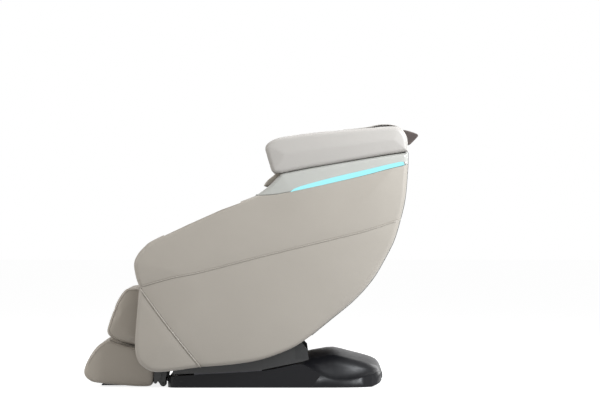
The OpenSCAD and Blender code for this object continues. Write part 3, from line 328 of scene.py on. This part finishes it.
def mottled(tree, shader, where, color, scale, spread):  # a base colour that varies softly
    cloud = addNode(tree, "ShaderNodeTexNoise", {"Scale": scale, "Detail": 4, "Roughness": 0.55})
    tree.links.new(where, cloud.inputs["Vector"])
    colorMix(tree, shader, cloud.outputs["Fac"], color, 1 - spread, 1 + spread)


def roughened(tree, shader, where, rough, scale):  # a roughness that varies between two values
    low, high = rough
    cloud = addNode(tree, "ShaderNodeTexNoise", {"Scale": scale, "Detail": 3})
    limits = {"From Min": 0.3, "From Max": 0.7, "To Min": low, "To Max": high}
    spread = addNode(tree, "ShaderNodeMapRange", limits)
    tree.links.new(where, cloud.inputs["Vector"])
    tree.links.new(cloud.outputs["Fac"], spread.inputs["Value"])
    tree.links.new(spread.outputs["Result"], shader.inputs["Roughness"])


def bumped(tree, shader, height, strength, depth, before=None):  # a fine relief, over another one if given
    bump = addNode(tree, "ShaderNodeBump", {"Strength": strength, "Distance": depth})
    tree.links.new(height, bump.inputs["Height"])
    if before:
        tree.links.new(before, bump.inputs["Normal"])
    tree.links.new(bump.outputs["Normal"], shader.inputs["Normal"])
    return bump.outputs["Normal"]


def leather(name, color):  # soft creases under a fine pebble
    material, tree, shader, where = newMaterial(name)
    mottled(tree, shader, where, color, scale=6, spread=0.045)
    roughened(tree, shader, where, rough=(0.40, 0.50), scale=40)
    shader.inputs["Sheen Weight"].default_value = 0.12
    shader.inputs["Sheen Roughness"].default_value = 0.4
    folds = addNode(tree, "ShaderNodeTexNoise", {"Scale": 26, "Detail": 5, "Roughness": 0.6})
    tree.links.new(where, folds.inputs["Vector"])
    soft = bumped(tree, shader, folds.outputs["Fac"], strength=0.12, depth=0.002)
    pebble = {"Scale": 850, "Randomness": 0.9}
    cells = addNode(tree, "ShaderNodeTexVoronoi", pebble, feature="SMOOTH_F1")
    tree.links.new(where, cells.inputs["Vector"])
    bumped(tree, shader, cells.outputs["Distance"], strength=0.22, depth=0.0006, before=soft)
    return material


def moulded(name, color, rough, grain, bump, coat=0.0, specular=0.5):  # plastic or rubber with a fine grain
    material, tree, shader, where = newMaterial(name)
    mottled(tree, shader, where, color, scale=14, spread=0.06)
    roughened(tree, shader, where, rough, scale=60)
    shader.inputs["Specular IOR Level"].default_value = specular
    shader.inputs["Coat Weight"].default_value = coat
    shader.inputs["Coat Roughness"].default_value = 0.12
    fine = addNode(tree, "ShaderNodeTexNoise", {"Scale": grain, "Detail": 2})
    tree.links.new(where, fine.inputs["Vector"])
    bumped(tree, shader, fine.outputs["Fac"], strength=bump, depth=0.0003)
    return material


def painted(name, color):  # powder coat
    return moulded(name, color, rough=(0.42, 0.55), grain=900, bump=0.3)


def metal(name, color):  # brushed: its pattern is squeezed along Y
    material, tree, shader, where = newMaterial(name)
    shader.inputs["Metallic"].default_value = 1
    mottled(tree, shader, where, color, scale=20, spread=0.08)
    brushed = addNode(tree, "ShaderNodeMapping", {"Scale": (1, 40, 1)})
    tree.links.new(where, brushed.inputs["Vector"])
    roughened(tree, shader, brushed.outputs["Vector"], rough=(0.22, 0.4), scale=30)
    fine = addNode(tree, "ShaderNodeTexNoise", {"Scale": 220, "Detail": 3})
    tree.links.new(brushed.outputs["Vector"], fine.inputs["Vector"])
    bumped(tree, shader, fine.outputs["Fac"], strength=0.05, depth=0.0003)
    return material


def glowing(name, color):  # a lit lens, dark in itself
    material, tree, shader, where = newMaterial(name)
    mottled(tree, shader, where, tone(color, 0.08)[:3], scale=30, spread=0.02)
    shader.inputs["Roughness"].default_value = 0.25
    shader.inputs["Emission Color"].default_value = (*color, 1)
    shader.inputs["Emission Strength"].default_value = 0.95
    return material


def plywood(name, color):
    material, tree, shader, where = newMaterial(name)
    stretched = addNode(tree, "ShaderNodeMapping", {"Scale": (1, 8, 12)})
    grain = addNode(tree, "ShaderNodeTexNoise", {"Scale": 9, "Detail": 6, "Distortion": 1.2})
    tree.links.new(where, stretched.inputs["Vector"])
    tree.links.new(stretched.outputs["Vector"], grain.inputs["Vector"])
    colorMix(tree, shader, grain.outputs["Fac"], color, dark=0.7, light=1.25)
    shader.inputs["Roughness"].default_value = 0.6
    bumped(tree, shader, grain.outputs["Fac"], strength=0.2, depth=0.0006)
    return material


def woven(name, color):  # two crossing sets of threads
    material, tree, shader, where = newMaterial(name)
    threads = {"Scale": 95, "Distortion": 1.5, "Detail": 2}
    warp = addNode(tree, "ShaderNodeTexWave", threads, bands_direction="Y")
    weft = addNode(tree, "ShaderNodeTexWave", threads, bands_direction="DIAGONAL")
    cross = addNode(tree, "ShaderNodeMath", operation="MULTIPLY")
    tree.links.new(where, warp.inputs["Vector"])
    tree.links.new(where, weft.inputs["Vector"])
    tree.links.new(warp.outputs["Fac"], cross.inputs[0])
    tree.links.new(weft.outputs["Fac"], cross.inputs[1])
    colorMix(tree, shader, cross.outputs[0], color, dark=0.55, light=2.0)
    shader.inputs["Roughness"].default_value = 0.8
    shader.inputs["Sheen Weight"].default_value = 0.3
    bumped(tree, shader, cross.outputs[0], strength=0.5, depth=0.0012)
    return material


finish = {
    "panel_leather": leather("panelLeather", colors["panelLeather"]),
    "hood_leather": leather("hoodLeather", colors["hoodLeather"]),
    "seat_leather": leather("seatLeather", colors["seatLeather"]),
    "leg_leather": leather("legLeather", colors["legLeather"]),
    "trim_gloss": moulded("glossTrim", colors["accent"], rough=(0.12, 0.2), grain=700, bump=0.02, coat=0.6),
    "light_cyan": glowing("lightCyan", colors["cyan"]),
    "black_plastic": moulded("satinBlack", colors["blackPlastic"], rough=(0.3, 0.38), grain=500, bump=0.03,
                             specular=0.18),
    "black_rubber": moulded("blackRubber", colors["rubber"], rough=(0.6, 0.75), grain=600, bump=0.3,
                            specular=0.3),
    "roller_rubber": moulded("rollerRubber", colors["rollerRubber"], rough=(0.5, 0.62), grain=500, bump=0.3),
    "steel_dark": painted("darkSteel", colors["darkSteel"]),
    "steel_bright": metal("brightSteel", colors["steel"]),
    "motor_casing": painted("motorCasing", colors["casing"]),
    "switch_red": moulded("switchRed", colors["switch"], rough=(0.25, 0.35), grain=900, bump=0.05),
    "key_silver": moulded("keySilver", colors["silver"], rough=(0.22, 0.3), grain=900, bump=0.05),
    "board": plywood("plywood", colors["wood"]),
    "weave_brown": woven("brownWeave", colors["weave"]),
}
print("finishes made:", len(finish))


def dressNodes():  # every CAD node takes the finish of its slot in the record
    for material in frame["record"]["materials"]:
        for name in material.get("nodes", []):
            for place in nodes[name].material_slots:
                place.material = finish[material["slot"]]


# side panels: padded skins over one outline, parted by seams

# a seam: its piping's radius and depth, the rolled edges' width and depth, and the soft fall towards them
seam = {"bead": 0.003, "sink": 0.0022, "fold": 0.007, "drop": 0.006, "dip": 0.002, "reach": 0.024}
# a side: where its skin starts and stands at the outline, the radius there, and the crown over its reach;
# an edge nearer to the outline than atRim goes in as far as the rim, any other edge by turn
panel = {"rim": 0.302, "edge": 0.357, "round": 0.018, "crown": 0.020, "reach": 0.26, "wall": 0.005,
         "turn": 0.008, "atRim": 0.0015, "merge": 2e-5}
grids = {"upper": (170, 46), "lowerRear": (170, 46), "lowerFront": (110, 34), "accent": (130, 24),
         "hood": (150, 40), "light": (120, 6)}  # columns and rows
lifts = {"accent": -0.001, "light": -0.002}  # both sit a little lower than the leather
# the well along the arm's slope: its ends, depth and outer side, and how far its cutter goes past the skin
armWell = {"start": Vector((-0.410, 0, 0.626)), "end": Vector((0.019, 0, 0.812)), "from": 0.045,
           "to": 0.400, "deep": 0.105, "lip": 0.373, "under": 0.01, "over": 0.1, "corner": 0.012}

# lines of the side, rearwards and upwards in millimetres
nose = [(-470, 429), (-484, 470), (-492, 525), (-478, 563), (-449, 597), (-410, 626), (-270, 692),
        (-130, 754), (19, 812)]
accentFront = [(19, 812), (77, 855), (125, 904)]
accentTop = [(125, 904), (236, 926), (429, 959), (552, 979), (658, 994)]
rearEnd = [(658, 994), (658, 941)]
rearEdge = [(658, 941), (650, 836), (641, 773), (626, 712)]
rearBottom = [(626, 712), (600, 626), (558, 542), (507, 458), (432, 374), (331, 290), (253, 226),
              (167, 170), (38, 123), (-93, 102), (-213, 93)]
frontBottom = [(-213, 93), (-334, 76), (-411, 73), (-455, 95), (-478, 124), (-488, 177), (-485, 250),
               (-478, 336), (-470, 429)]
lowerSeam = [(-470, 429), (-334, 467), (-237, 486), (-93, 522), (37, 556), (332, 628), (477, 664),
             (626, 712)]
frontSeam = [(-470, 429), (-382, 307), (-285, 182), (-213, 93)]
accentLow = [(19, 812), (91, 816), (165, 828)]
lightLow = [(165, 828), (250, 846), (332, 864), (477, 898), (574, 924), (645, 941)]
lightTop = [(165, 828), (197, 848), (332, 886), (477, 920), (574, 943), (628, 954), (645, 950), (645, 941)]
lightTail = [(645, 941), (658, 943)]
hoodLow = [(125, 906), (236, 928), (332, 944), (429, 961), (549, 981), (658, 998)]
hoodHigh = [(125, 906), (90, 911), (76, 946), (66, 980), (59, 1010), (70, 1032), (112, 1054), (188, 1067),
            (284, 1079), (390, 1088), (500, 1097), (585, 1103), (622, 1098), (645, 1075), (655, 1048),
            (658, 998)]

bodyOutline = chain(nose, accentFront, accentTop, rearEnd, rearEdge, rearBottom, frontBottom)
hoodOutline = chain(hoodHigh, hoodLow[::-1])


def skinHeight(points, outline):  # how far out the padded skin of a side stands
    d = distance(outline, points)
    crown = panel["crown"] * (1 - (1 - np.minimum(d / panel["reach"], 1)) ** 2)
    return panel["edge"] + quarterRound(d, panel["round"]) + crown


def seamFall(d):  # how far it turns in beside a seam
    roll = seam["drop"] - quarterRound(d, seam["fold"]) * seam["drop"] / seam["fold"]
    return roll + seam["dip"] * np.exp(-(d / seam["reach"]) ** 2)


def skinPatch(bm, patch, outline, lift):  # a padded grid between two lines
    low, high = patch["low"], patch["high"]
    columns, rows = patch["grid"]
    made = bmesh.ops.create_grid(bm, x_segments=columns, y_segments=rows, size=0.5)["verts"]
    u, w = gridShares(made)
    lowPart, highPart = (1 - w)[:, None], w[:, None]
    where = along(low, u) * lowPart + along(high, u) * highPart
    if "end" in patch:  # the far end follows a line of its own
        where += u[:, None] ** 4 * (along(patch["end"], w) - low[-1] * lowPart - high[-1] * highPart)
    y = skinHeight(where, outline) + lift
    for line in patch["seams"]:
        y = y - seamFall(distance(line, where))
    for v, p, height in zip(made, where, y):
        v.co = (p[0], height, p[1])
    bmesh.ops.remove_doubles(bm, verts=made, dist=panel["merge"])


def spotOf(v):  # a vertex's place, rounded to find it again
    return tuple(round(c, 7) for c in v.co)


def turnedIn(bm, outline):  # the edges of a skin turn in: to the rim at the outline, a little at a seam
    border = [e for e in bm.edges if e.is_boundary]
    ends = list({v for e in border for v in e.verts})
    near = distance(outline, np.array([(v.co.x, v.co.z) for v in ends])) < panel["atRim"]
    atRim = {spotOf(v): rim for v, rim in zip(ends, near)}
    for v in grownVerts(bmesh.ops.extrude_edge_only(bm, edges=border)):
        v.co.y = panel["rim"] if atRim.get(spotOf(v)) else v.co.y - panel["turn"]


def skinObject(name, patches, outline, slot, lift=0.0):  # one leather skin of one or more patches
    bm = bmesh.new()
    for patch in patches:
        piece = bmesh.new()
        skinPatch(piece, patch, outline, lift)
        turnedIn(piece, outline)
        bmesh.ops.recalc_face_normals(piece, faces=piece.faces)
        outward = sum(f.normal.y * f.calc_area() for f in piece.faces)
        if outward < 0:
            bmesh.ops.reverse_faces(piece, faces=piece.faces)
        mesh = bpy.data.meshes.new(name)
        piece.to_mesh(mesh)
        piece.free()
        bm.from_mesh(mesh)
        bpy.data.meshes.remove(mesh)
    made = newObject(name, bm, slot, skinAngle)
    addWall(made, panel["wall"])
    return applied(made, skinAngle)


def onSkin(line, outline, sink):  # a line of the side laid on the skin
    y = skinHeight(line, outline) - sink
    return [(p[0], h, p[1]) for p, h in zip(line, y)]


def wellCutter():  # a block along the arm's slope, round at its outer corners
    low = Vector((armWell["from"], panel["rim"] - armWell["under"], -armWell["deep"]))
    high = Vector((armWell["to"], armWell["lip"], armWell["over"]))
    middle = (low + high) / 2
    bm = bmesh.new()
    bmesh.ops.create_cube(bm, size=1)
    bmesh.ops.scale(bm, vec=high - low, verts=bm.verts)
    bmesh.ops.translate(bm, vec=middle, verts=bm.verts)
    upright = [e for e in bm.edges if abs((e.verts[0].co - e.verts[1].co).z) > armWell["deep"] / 2]
    outer = [e for e in upright if e.verts[0].co.y > middle.y]
    bmesh.ops.bevel(bm, geom=outer, offset=armWell["corner"], offset_type="OFFSET", affect="EDGES",
                    segments=5, profile=0.5, material=-1)
    way = armWell["end"] - armWell["start"]
    slope = Matrix.Translation(armWell["start"]) @ Matrix.Rotation(-math.atan2(way.z, way.x), 4, "Y")
    bmesh.ops.transform(bm, matrix=slope, verts=bm.verts)
    return newObject("wellCutter", bm)


def cutBy(made, cutter):  # takes the cutter's shape out of a piece
    cut = made.modifiers.new("cut", "BOOLEAN")
    cut.object = cutter
    cut.operation = "DIFFERENCE"
    cut.solver = "EXACT"
    applied(made, skinAngle)
    bpy.data.objects.remove(cutter)


def makeSides():
    lower, front, accent = spline(lowerSeam), spline(frontSeam), spline(accentLow)
    upperPatch = {"low": lower, "high": chain(nose, accentLow, lightLow, lightTail),
                  "seams": [lower, accent], "grid": grids["upper"], "end": spline(rearEdge[::-1])}
    rearPatch = {"low": chain(frontSeam, rearBottom[::-1]), "high": lower, "seams": [lower, front],
                 "grid": grids["lowerRear"]}
    frontPatch = {"low": spline(frontBottom[::-1]), "high": front, "seams": [front],
                  "grid": grids["lowerFront"]}
    trimPatch = {"low": chain(accentLow, lightTop, lightTail), "high": chain(accentFront, accentTop),
                 "seams": [accent], "grid": grids["accent"]}
    hoodPatch = {"low": spline(hoodLow), "high": spline(hoodHigh), "seams": [], "grid": grids["hood"]}
    lightPatch = {"low": spline(lightLow), "high": spline(lightTop), "seams": [], "grid": grids["light"]}

    upperSkin = skinObject("panelUpperRight", [upperPatch], bodyOutline, "panel_leather")
    cutBy(upperSkin, wellCutter())
    lowerSkin = skinObject("panelLowerRight", [rearPatch, frontPatch], bodyOutline, "panel_leather")
    trimSkin = skinObject("accentTrimRight", [trimPatch], bodyOutline, "trim_gloss", lifts["accent"])
    hoodSkin = skinObject("hoodWingRight", [hoodPatch], hoodOutline, "hood_leather")
    for made, node, slot in ((upperSkin, "side_panel_upper", "panel_leather"),
                             (lowerSkin, "side_panel_lower", "panel_leather"),
                             (trimSkin, "accent_trim", "trim_gloss"),
                             (hoodSkin, "hood_wing", "hood_leather")):
        for piece, side in zip(bothSides(made), ("right", "left")):
            settled(piece, "seat", slot, f"{node}_{side}")
    light = skinObject("lightBarRight", [lightPatch], bodyOutline, "light_cyan", lifts["light"])
    for piece in bothSides(light):
        settled(piece, "seat", "light_cyan", "light_bars")
    for name, line in (("lowerSeam", lower), ("frontSeam", front)):
        route = onSkin(line, bodyOutline, seam["sink"])
        for piece in bothSides(bead(f"{name}PipingRight", route, seam["bead"], "panel_leather")):
            settled(piece, "seat", "panel_leather")
    print("side panels made")


# covers: smooth copies of the CAD forms, with edges rounded where the look says so

covers = {
    "base_cover": {"name": "baseCover", "body": "base", "slot": "black_plastic", "sharp": 30},
    "back_cover": {"name": "backCover", "body": "seat", "slot": "black_plastic", "sharp": 30},
    "arm_liners": {"name": "armLinings", "body": "seat", "slot": "seat_leather", "sharp": 50,
                   "round": 0.003},
}


def rounded(made, look):  # rounds the edges that turn by more than 35 degrees
    edge = made.modifiers.new("edge", "BEVEL")
    edge.width = look["round"]
    edge.segments = 3
    edge.limit_method = "ANGLE"
    edge.angle_limit = math.radians(35)
    applied(made, look["sharp"])


def makeCovers():
    for node, look in covers.items():
        bm = bmesh.new()
        bm.from_mesh(nodes[node].data)
        bmesh.ops.remove_doubles(bm, verts=bm.verts, dist=sameSpot)
        if "round" in look:  # flat faces are joined first
            bmesh.ops.dissolve_limit(bm, angle_limit=math.radians(1), verts=bm.verts, edges=bm.edges)
        made = newObject(look["name"], bm, look["slot"], look["sharp"])
        if "round" in look:
            rounded(made, look)
        settled(made, look["body"], look["slot"], node)
    print("covers made")


# bands, a dark bead and linings. The black bead along the rear edge is painted shade: it stands in for the
# shadow in the gap there. A band has a line in millimetres, half its width, the radius of its edges and its
# thickness, and may have a sewn seam, a centre beside the middle, a lift, and a rise towards its sides

hoodBand = {"line": [(380, 1087), (496, 1096), (598, 1101), (632, 1086), (648, 1054), (654, 1010),
                     (652, 943)],
            "half": 0.2975, "roll": 0.007, "wall": 0.011, "grid": (90, 70),
            "seam": {"at": 0.205, "dip": 0.0025, "reach": 0.005}}
flapBand = {"line": [(386, 1094), (440, 1099), (494, 1106), (549, 1117), (604, 1114), (640, 1096),
                     (653, 1072), (664, 1030)],
            "half": 0.140, "roll": 0.0024, "wall": 0.005, "grid": (90, 50),
            "seam": {"at": 0.131, "dip": 0.0009, "reach": 0.002}}
channelBand = {"line": [(-550, 195), (-428, 397)], "half": 0.0785, "roll": 0.003, "wall": 0.003,
               "grid": (40, 24), "centre": 0.118, "lift": 0.004, "rise": 0.012}
bandDetail = {"steps": 12, "probe": 0.01}  # fineness of a band's line, and the reach that gives its slope
# a black bead laid along the rear edge as painted shade, in place of the shadow in the gap
gapShadeBead = {"radius": 0.0038, "side": 0.3032, "stretch": 7}  # down to the seventh point of the rear bottom
lining = {"inner": 0.2942, "outer": 0.2974, "steps": 6,
          "edge": [(72, 1028), (112, 1049), (188, 1062), (284, 1074), (376, 1083), (450, 1060), (452, 1000),
                   (446, 900), (420, 854), (240, 846), (150, 840), (72, 838), (90, 856), (104, 905),
                   (82, 940), (68, 980)]}


def bandObject(name, look, slot):  # a leather band over the top, from one side to the other
    line = spline(look["line"], bandDetail["steps"])
    columns, rows = look["grid"]
    bm = bmesh.new()
    made = bmesh.ops.create_grid(bm, x_segments=columns, y_segments=rows, size=0.5)["verts"]
    u, w = gridShares(made)
    s = 2 * w - 1  # from -1 at one side to 1 at the other
    probe = bandDetail["probe"]
    way = along(line, np.minimum(u + probe, 1)) - along(line, np.maximum(u - probe, 0))
    out = np.stack([-way[:, 1], way[:, 0]], axis=1) / np.linalg.norm(way, axis=1)[:, None]
    run = np.linalg.norm(np.diff(line, axis=0), axis=1).sum()
    edge = np.minimum(look["half"] * (1 - np.abs(s)), run * np.minimum(u, 1 - u))
    rise = quarterRound(edge, look["roll"]) - look["roll"] + look.get("lift", 0)
    rise += look.get("rise", 0) * s ** 4
    if "seam" in look:
        sewn = look["seam"]
        rise -= sewn["dip"] * np.exp(-((np.abs(s) * look["half"] - sewn["at"]) / sewn["reach"]) ** 2)
    for v, p, n, h, t in zip(made, along(line, u), out, rise, s):
        v.co = (p[0] + n[0] * h, t * look["half"] + look.get("centre", 0), p[1] + n[1] * h)
    bmesh.ops.recalc_face_normals(bm, faces=bm.faces)
    outX, outZ = out.mean(axis=0)
    if sum((f.normal.x * outX + f.normal.z * outZ) * f.calc_area() for f in bm.faces) < 0:
        bmesh.ops.reverse_faces(bm, faces=bm.faces)
    piece = newObject(name, bm, slot, skinAngle)
    addWall(piece, look["wall"])
    return applied(piece, skinAngle)


def liningPlate(name):  # leather over the inner face of a hood wing
    bm = bmesh.new()
    outline = spline(lining["edge"] + lining["edge"][:1], lining["steps"])[:-1]
    face = bm.faces.new([bm.verts.new((p[0], lining["inner"], p[1])) for p in outline])
    grown = grownVerts(bmesh.ops.extrude_face_region(bm, geom=[face]))
    bmesh.ops.translate(bm, vec=(0, lining["outer"] - lining["inner"], 0), verts=grown)
    bmesh.ops.recalc_face_normals(bm, faces=bm.faces)
    return newObject(name, bm, "seat_leather", skinAngle)


def makeTrim():
    settled(bandObject("hoodCenter", hoodBand, "hood_leather"), "seat", "hood_leather", "hood_center")
    flap = bandObject("pillowFlap", flapBand, "hood_leather")
    settled(flap, "seat", "hood_leather", "pillow_flap")
    # painted shade: the black bead along the rear edge stands in for the shadow in the gap
    line = chain(rearEnd, rearEdge, rearBottom[:gapShadeBead["stretch"]])
    route = [(p[0], gapShadeBead["side"], p[1]) for p in line]
    for piece in bothSides(bead("rearGasketRight", route, gapShadeBead["radius"], "black_rubber")):
        settled(piece, "seat", "black_rubber")
    for piece in bothSides(liningPlate("wingLiningRight")):
        settled(piece, "seat", "seat_leather")
    for piece in bothSides(bandObject("calfLiningRight", channelBand, "seat_leather")):
        settled(piece, "calf", "seat_leather")
    print("bands, gapShadeBeads and linings made")


# cushions: remeshed pads, blown up as cloth where they have a cap

# a pad moves by its whole cap at the front, by less towards its edge, and by the least share behind
cloth = {"frames": 20, "pressure": 4.0, "quality": 4, "percentile": 92, "edge": 0.3, "least": 0.12}
sewing = {"reach": 0.008, "spread": 2}  # half the width of a sewn channel, and how far round it goes
cord = {"radius": 0.0018, "lift": 0.0004, "passes": 4}  # the piping, and how often its route is evened out
cushions = {
    "seatCushion": {"node": "seat_pad", "body": "seat", "slot": "seat_leather", "voxel": 0.006, "smooth": 8,
                    "cap": 0.012, "shrink": 0.004, "front": (-0.35, 0, 1), "channel": 0.116, "dip": 0.008},
    "backCushion": {"node": "back_pad", "body": "seat", "slot": "seat_leather", "voxel": 0.007, "smooth": 8,
                    "cap": 0.012, "shrink": 0.004, "front": (-1, 0, 0.45), "channel": 0.105, "dip": 0.008},
    "headPillow": {"node": "head_pillow", "body": "seat", "slot": "hood_leather", "voxel": 0.006,
                   "smooth": 8, "cap": 0.012, "shrink": 0.004, "front": (-1, 0, 0.2)},
    "flapWeight": {"node": "flap_weight", "body": "seat", "slot": "weave_brown", "voxel": 0.004,
                   "smooth": 6},
    "shoulderPads": {"node": "shoulder_pads", "body": "seat", "slot": "seat_leather", "voxel": 0.006,
                     "smooth": 8, "cap": 0.008, "shrink": 0.003, "front": (-0.3, 0, -0.3)},
    "armPadRight": {"node": "arm_pad_right", "body": "seat", "slot": "seat_leather", "voxel": 0.004,
                    "smooth": 6},
    "armPadLeft": {"node": "arm_pad_left", "body": "seat", "slot": "seat_leather", "voxel": 0.004,
                   "smooth": 6},
    "calfPadRight": {"node": "calf_pad_right", "body": "calf", "slot": "leg_leather", "voxel": 0.005,
                     "smooth": 8, "cap": 0.006, "shrink": 0.003, "front": (-1, 0.4, 0.3)},
    "calfPadLeft": {"node": "calf_pad_left", "body": "calf", "slot": "leg_leather", "voxel": 0.005,
                    "smooth": 8, "cap": 0.006, "shrink": 0.003, "front": (-1, -0.4, 0.3)},
    "calfDivider": {"node": "calf_divider", "body": "calf", "slot": "leg_leather", "voxel": 0.005,
                    "smooth": 8, "cap": 0.006, "shrink": 0.003, "front": (-1, 0, 0.3)},
    "footPads": {"node": "foot_pads", "body": "foot", "slot": "leg_leather", "voxel": 0.003, "smooth": 3},
}
footCover = {"node": "foot_cover", "body": "foot", "slot": "leg_leather", "voxel": 0.004, "smooth": 6}
# piping on the pads: lines in millimetres, and for the back an arc in metres and degrees
padSeams = {
    "seat": {"side": 0.116, "line": [(-396, 440), (-382, 480), (-340, 488), (-270, 468), (-180, 448),
                                     (-90, 438), (-56, 430)]},
    "calf": {"side": 0.251, "line": [(-484, 420), (-516, 417), (-534, 407), (-561, 369), (-585, 314),
                                     (-602, 260), (-607, 240), (-603, 226), (-590, 214), (-570, 203),
                                     (-524, 189), (-488, 181)]},
    "foot": {"side": 0.251, "line": [(-694, 96), (-676, 130), (-648, 164), (-620, 186), (-600, 192),
                                     (-575, 181), (-526, 167), (-488, 158), (-424, 143)]},
}
backSeam = {"side": 0.105, "centre": (-0.548, 1.215), "radius": 0.936, "from": 20.5, "to": 55, "points": 50}


def remeshed(name, look):  # an even mesh over a merged copy of a CAD node
    bm = bmesh.new()
    bm.from_mesh(nodes[look["node"]].data)
    bmesh.ops.remove_doubles(bm, verts=bm.verts, dist=sameSpot)
    made = newObject(name, bm)
    made.data.materials.clear()
    remesh = made.modifiers.new("voxels", "REMESH")
    remesh.mode = "VOXEL"
    remesh.voxel_size = look["voxel"]
    relax = made.modifiers.new("relax", "SMOOTH")
    relax.factor = 0.5
    relax.iterations = look["smooth"]
    applied(made)
    made.data.materials.append(finish[look["slot"]])
    return made


def corners(made, kind="co"):  # the places or the normals of a mesh's vertices
    found = np.empty(len(made.data.vertices) * 3)
    made.data.vertices.foreach_get(kind, found)
    return found.reshape(-1, 3)


def moveTo(made, places):
    made.data.vertices.foreach_set("co", places.ravel())
    made.data.update()


def frontOf(look):
    return np.array(look["front"]) / np.linalg.norm(look["front"])


def puffed(made, look):  # blows a pad up as cloth, as far as its cap lets it
    facing = corners(made, "normal")
    moveTo(made, corners(made) - facing * look["shrink"])
    start = corners(made)
    fabric = made.modifiers.new("cloth", "CLOTH")
    fabric.settings.use_pressure = True
    fabric.settings.uniform_pressure_force = cloth["pressure"]
    fabric.settings.effector_weights.gravity = 0
    fabric.settings.quality = cloth["quality"]
    for step in range(1, cloth["frames"] + 1):
        scene.frame_set(step)
    applied(made)
    scene.frame_set(1)
    move = corners(made) - start
    size = np.maximum(np.linalg.norm(move, axis=1), 1e-9)
    free = look["cap"] * np.clip(cloth["edge"] + facing @ frontOf(look), cloth["least"], 1)
    share = min(1, look["cap"] / np.percentile(size, cloth["percentile"]))
    move *= (np.minimum(size * share, free) / size)[:, None]
    moveTo(made, start + move)


def pulledIn(made, look):  # sews the channels in
    at, facing = corners(made), corners(made, "normal")
    towards = np.clip(facing @ frontOf(look) * sewing["spread"], 0, 1)
    near = np.exp(-((np.abs(at[:, 1]) - look["channel"]) / sewing["reach"]) ** 2) * towards
    moveTo(made, at - facing * (look["dip"] * near)[:, None])


def cushion(name, look):
    made = remeshed(name, look)
    if "cap" in look:
        puffed(made, look)
    soft = made.modifiers.new("soft", "SUBSURF")
    soft.levels = soft.render_levels = 1
    applied(made)
    if "channel" in look:
        pulledIn(made, look)
    settled(made, look["body"], look["slot"], look["node"])
    print("cushion made:", name)
    return made


def laid(made, points):  # points moved to the nearest place on a piece, then evened out
    tree = BVHTree.FromObject(made, bpy.context.evaluated_depsgraph_get())
    found = [tree.find_nearest(Vector(p)) for p in points]
    line = np.array([place + normal * cord["lift"] for place, normal, _, _ in found])
    for _ in range(cord["passes"]):
        line[1:-1] = (line[:-2] + 2 * line[1:-1] + line[2:]) / 4
    return line


def piping(name, made, line, y, body, slot):
    route = laid(made, [(p[0], y, p[1]) for p in line])
    settled(bead(name, route, cord["radius"], slot), body, slot)


def arcLine():  # the back cushion's front, as an arc
    angles = np.radians(np.linspace(backSeam["from"], backSeam["to"], backSeam["points"]))
    (x, z), radius = backSeam["centre"], backSeam["radius"]
    return np.stack([x + radius * np.cos(angles), z - radius * np.sin(angles)], axis=1)


def makeCushions():
    made = {name: cushion(name, look) for name, look in cushions.items()}
    seatLine, calfLine = spline(padSeams["seat"]["line"]), spline(padSeams["calf"]["line"])
    for side, word in ((1, "Right"), (-1, "Left")):
        piping(f"seatPiping{word}", made["seatCushion"], seatLine, side * padSeams["seat"]["side"], "seat",
               "seat_leather")
        piping(f"backPiping{word}", made["backCushion"], arcLine(), side * backSeam["side"], "seat",
               "seat_leather")
        piping(f"calfPiping{word}", made[f"calfPad{word}"], calfLine, side * padSeams["calf"]["side"],
               "calf", "leg_leather")
    print("cushions made")


def makeFootCover():
    made = remeshed("footCover", footCover)
    settled(made, footCover["body"], footCover["slot"], footCover["node"])
    line = spline(padSeams["foot"]["line"])
    for side, word in ((1, "Right"), (-1, "Left")):
        piping(f"footPiping{word}", made, line, side * padSeams["foot"]["side"], "foot", "leg_leather")
    print("foot cover made")


makeCamera()
makeWorld()
makeFloor()
makeLamps()
dressNodes()
makeSides()
makeCovers()
makeTrim()
makeCushions()
makeFootCover()
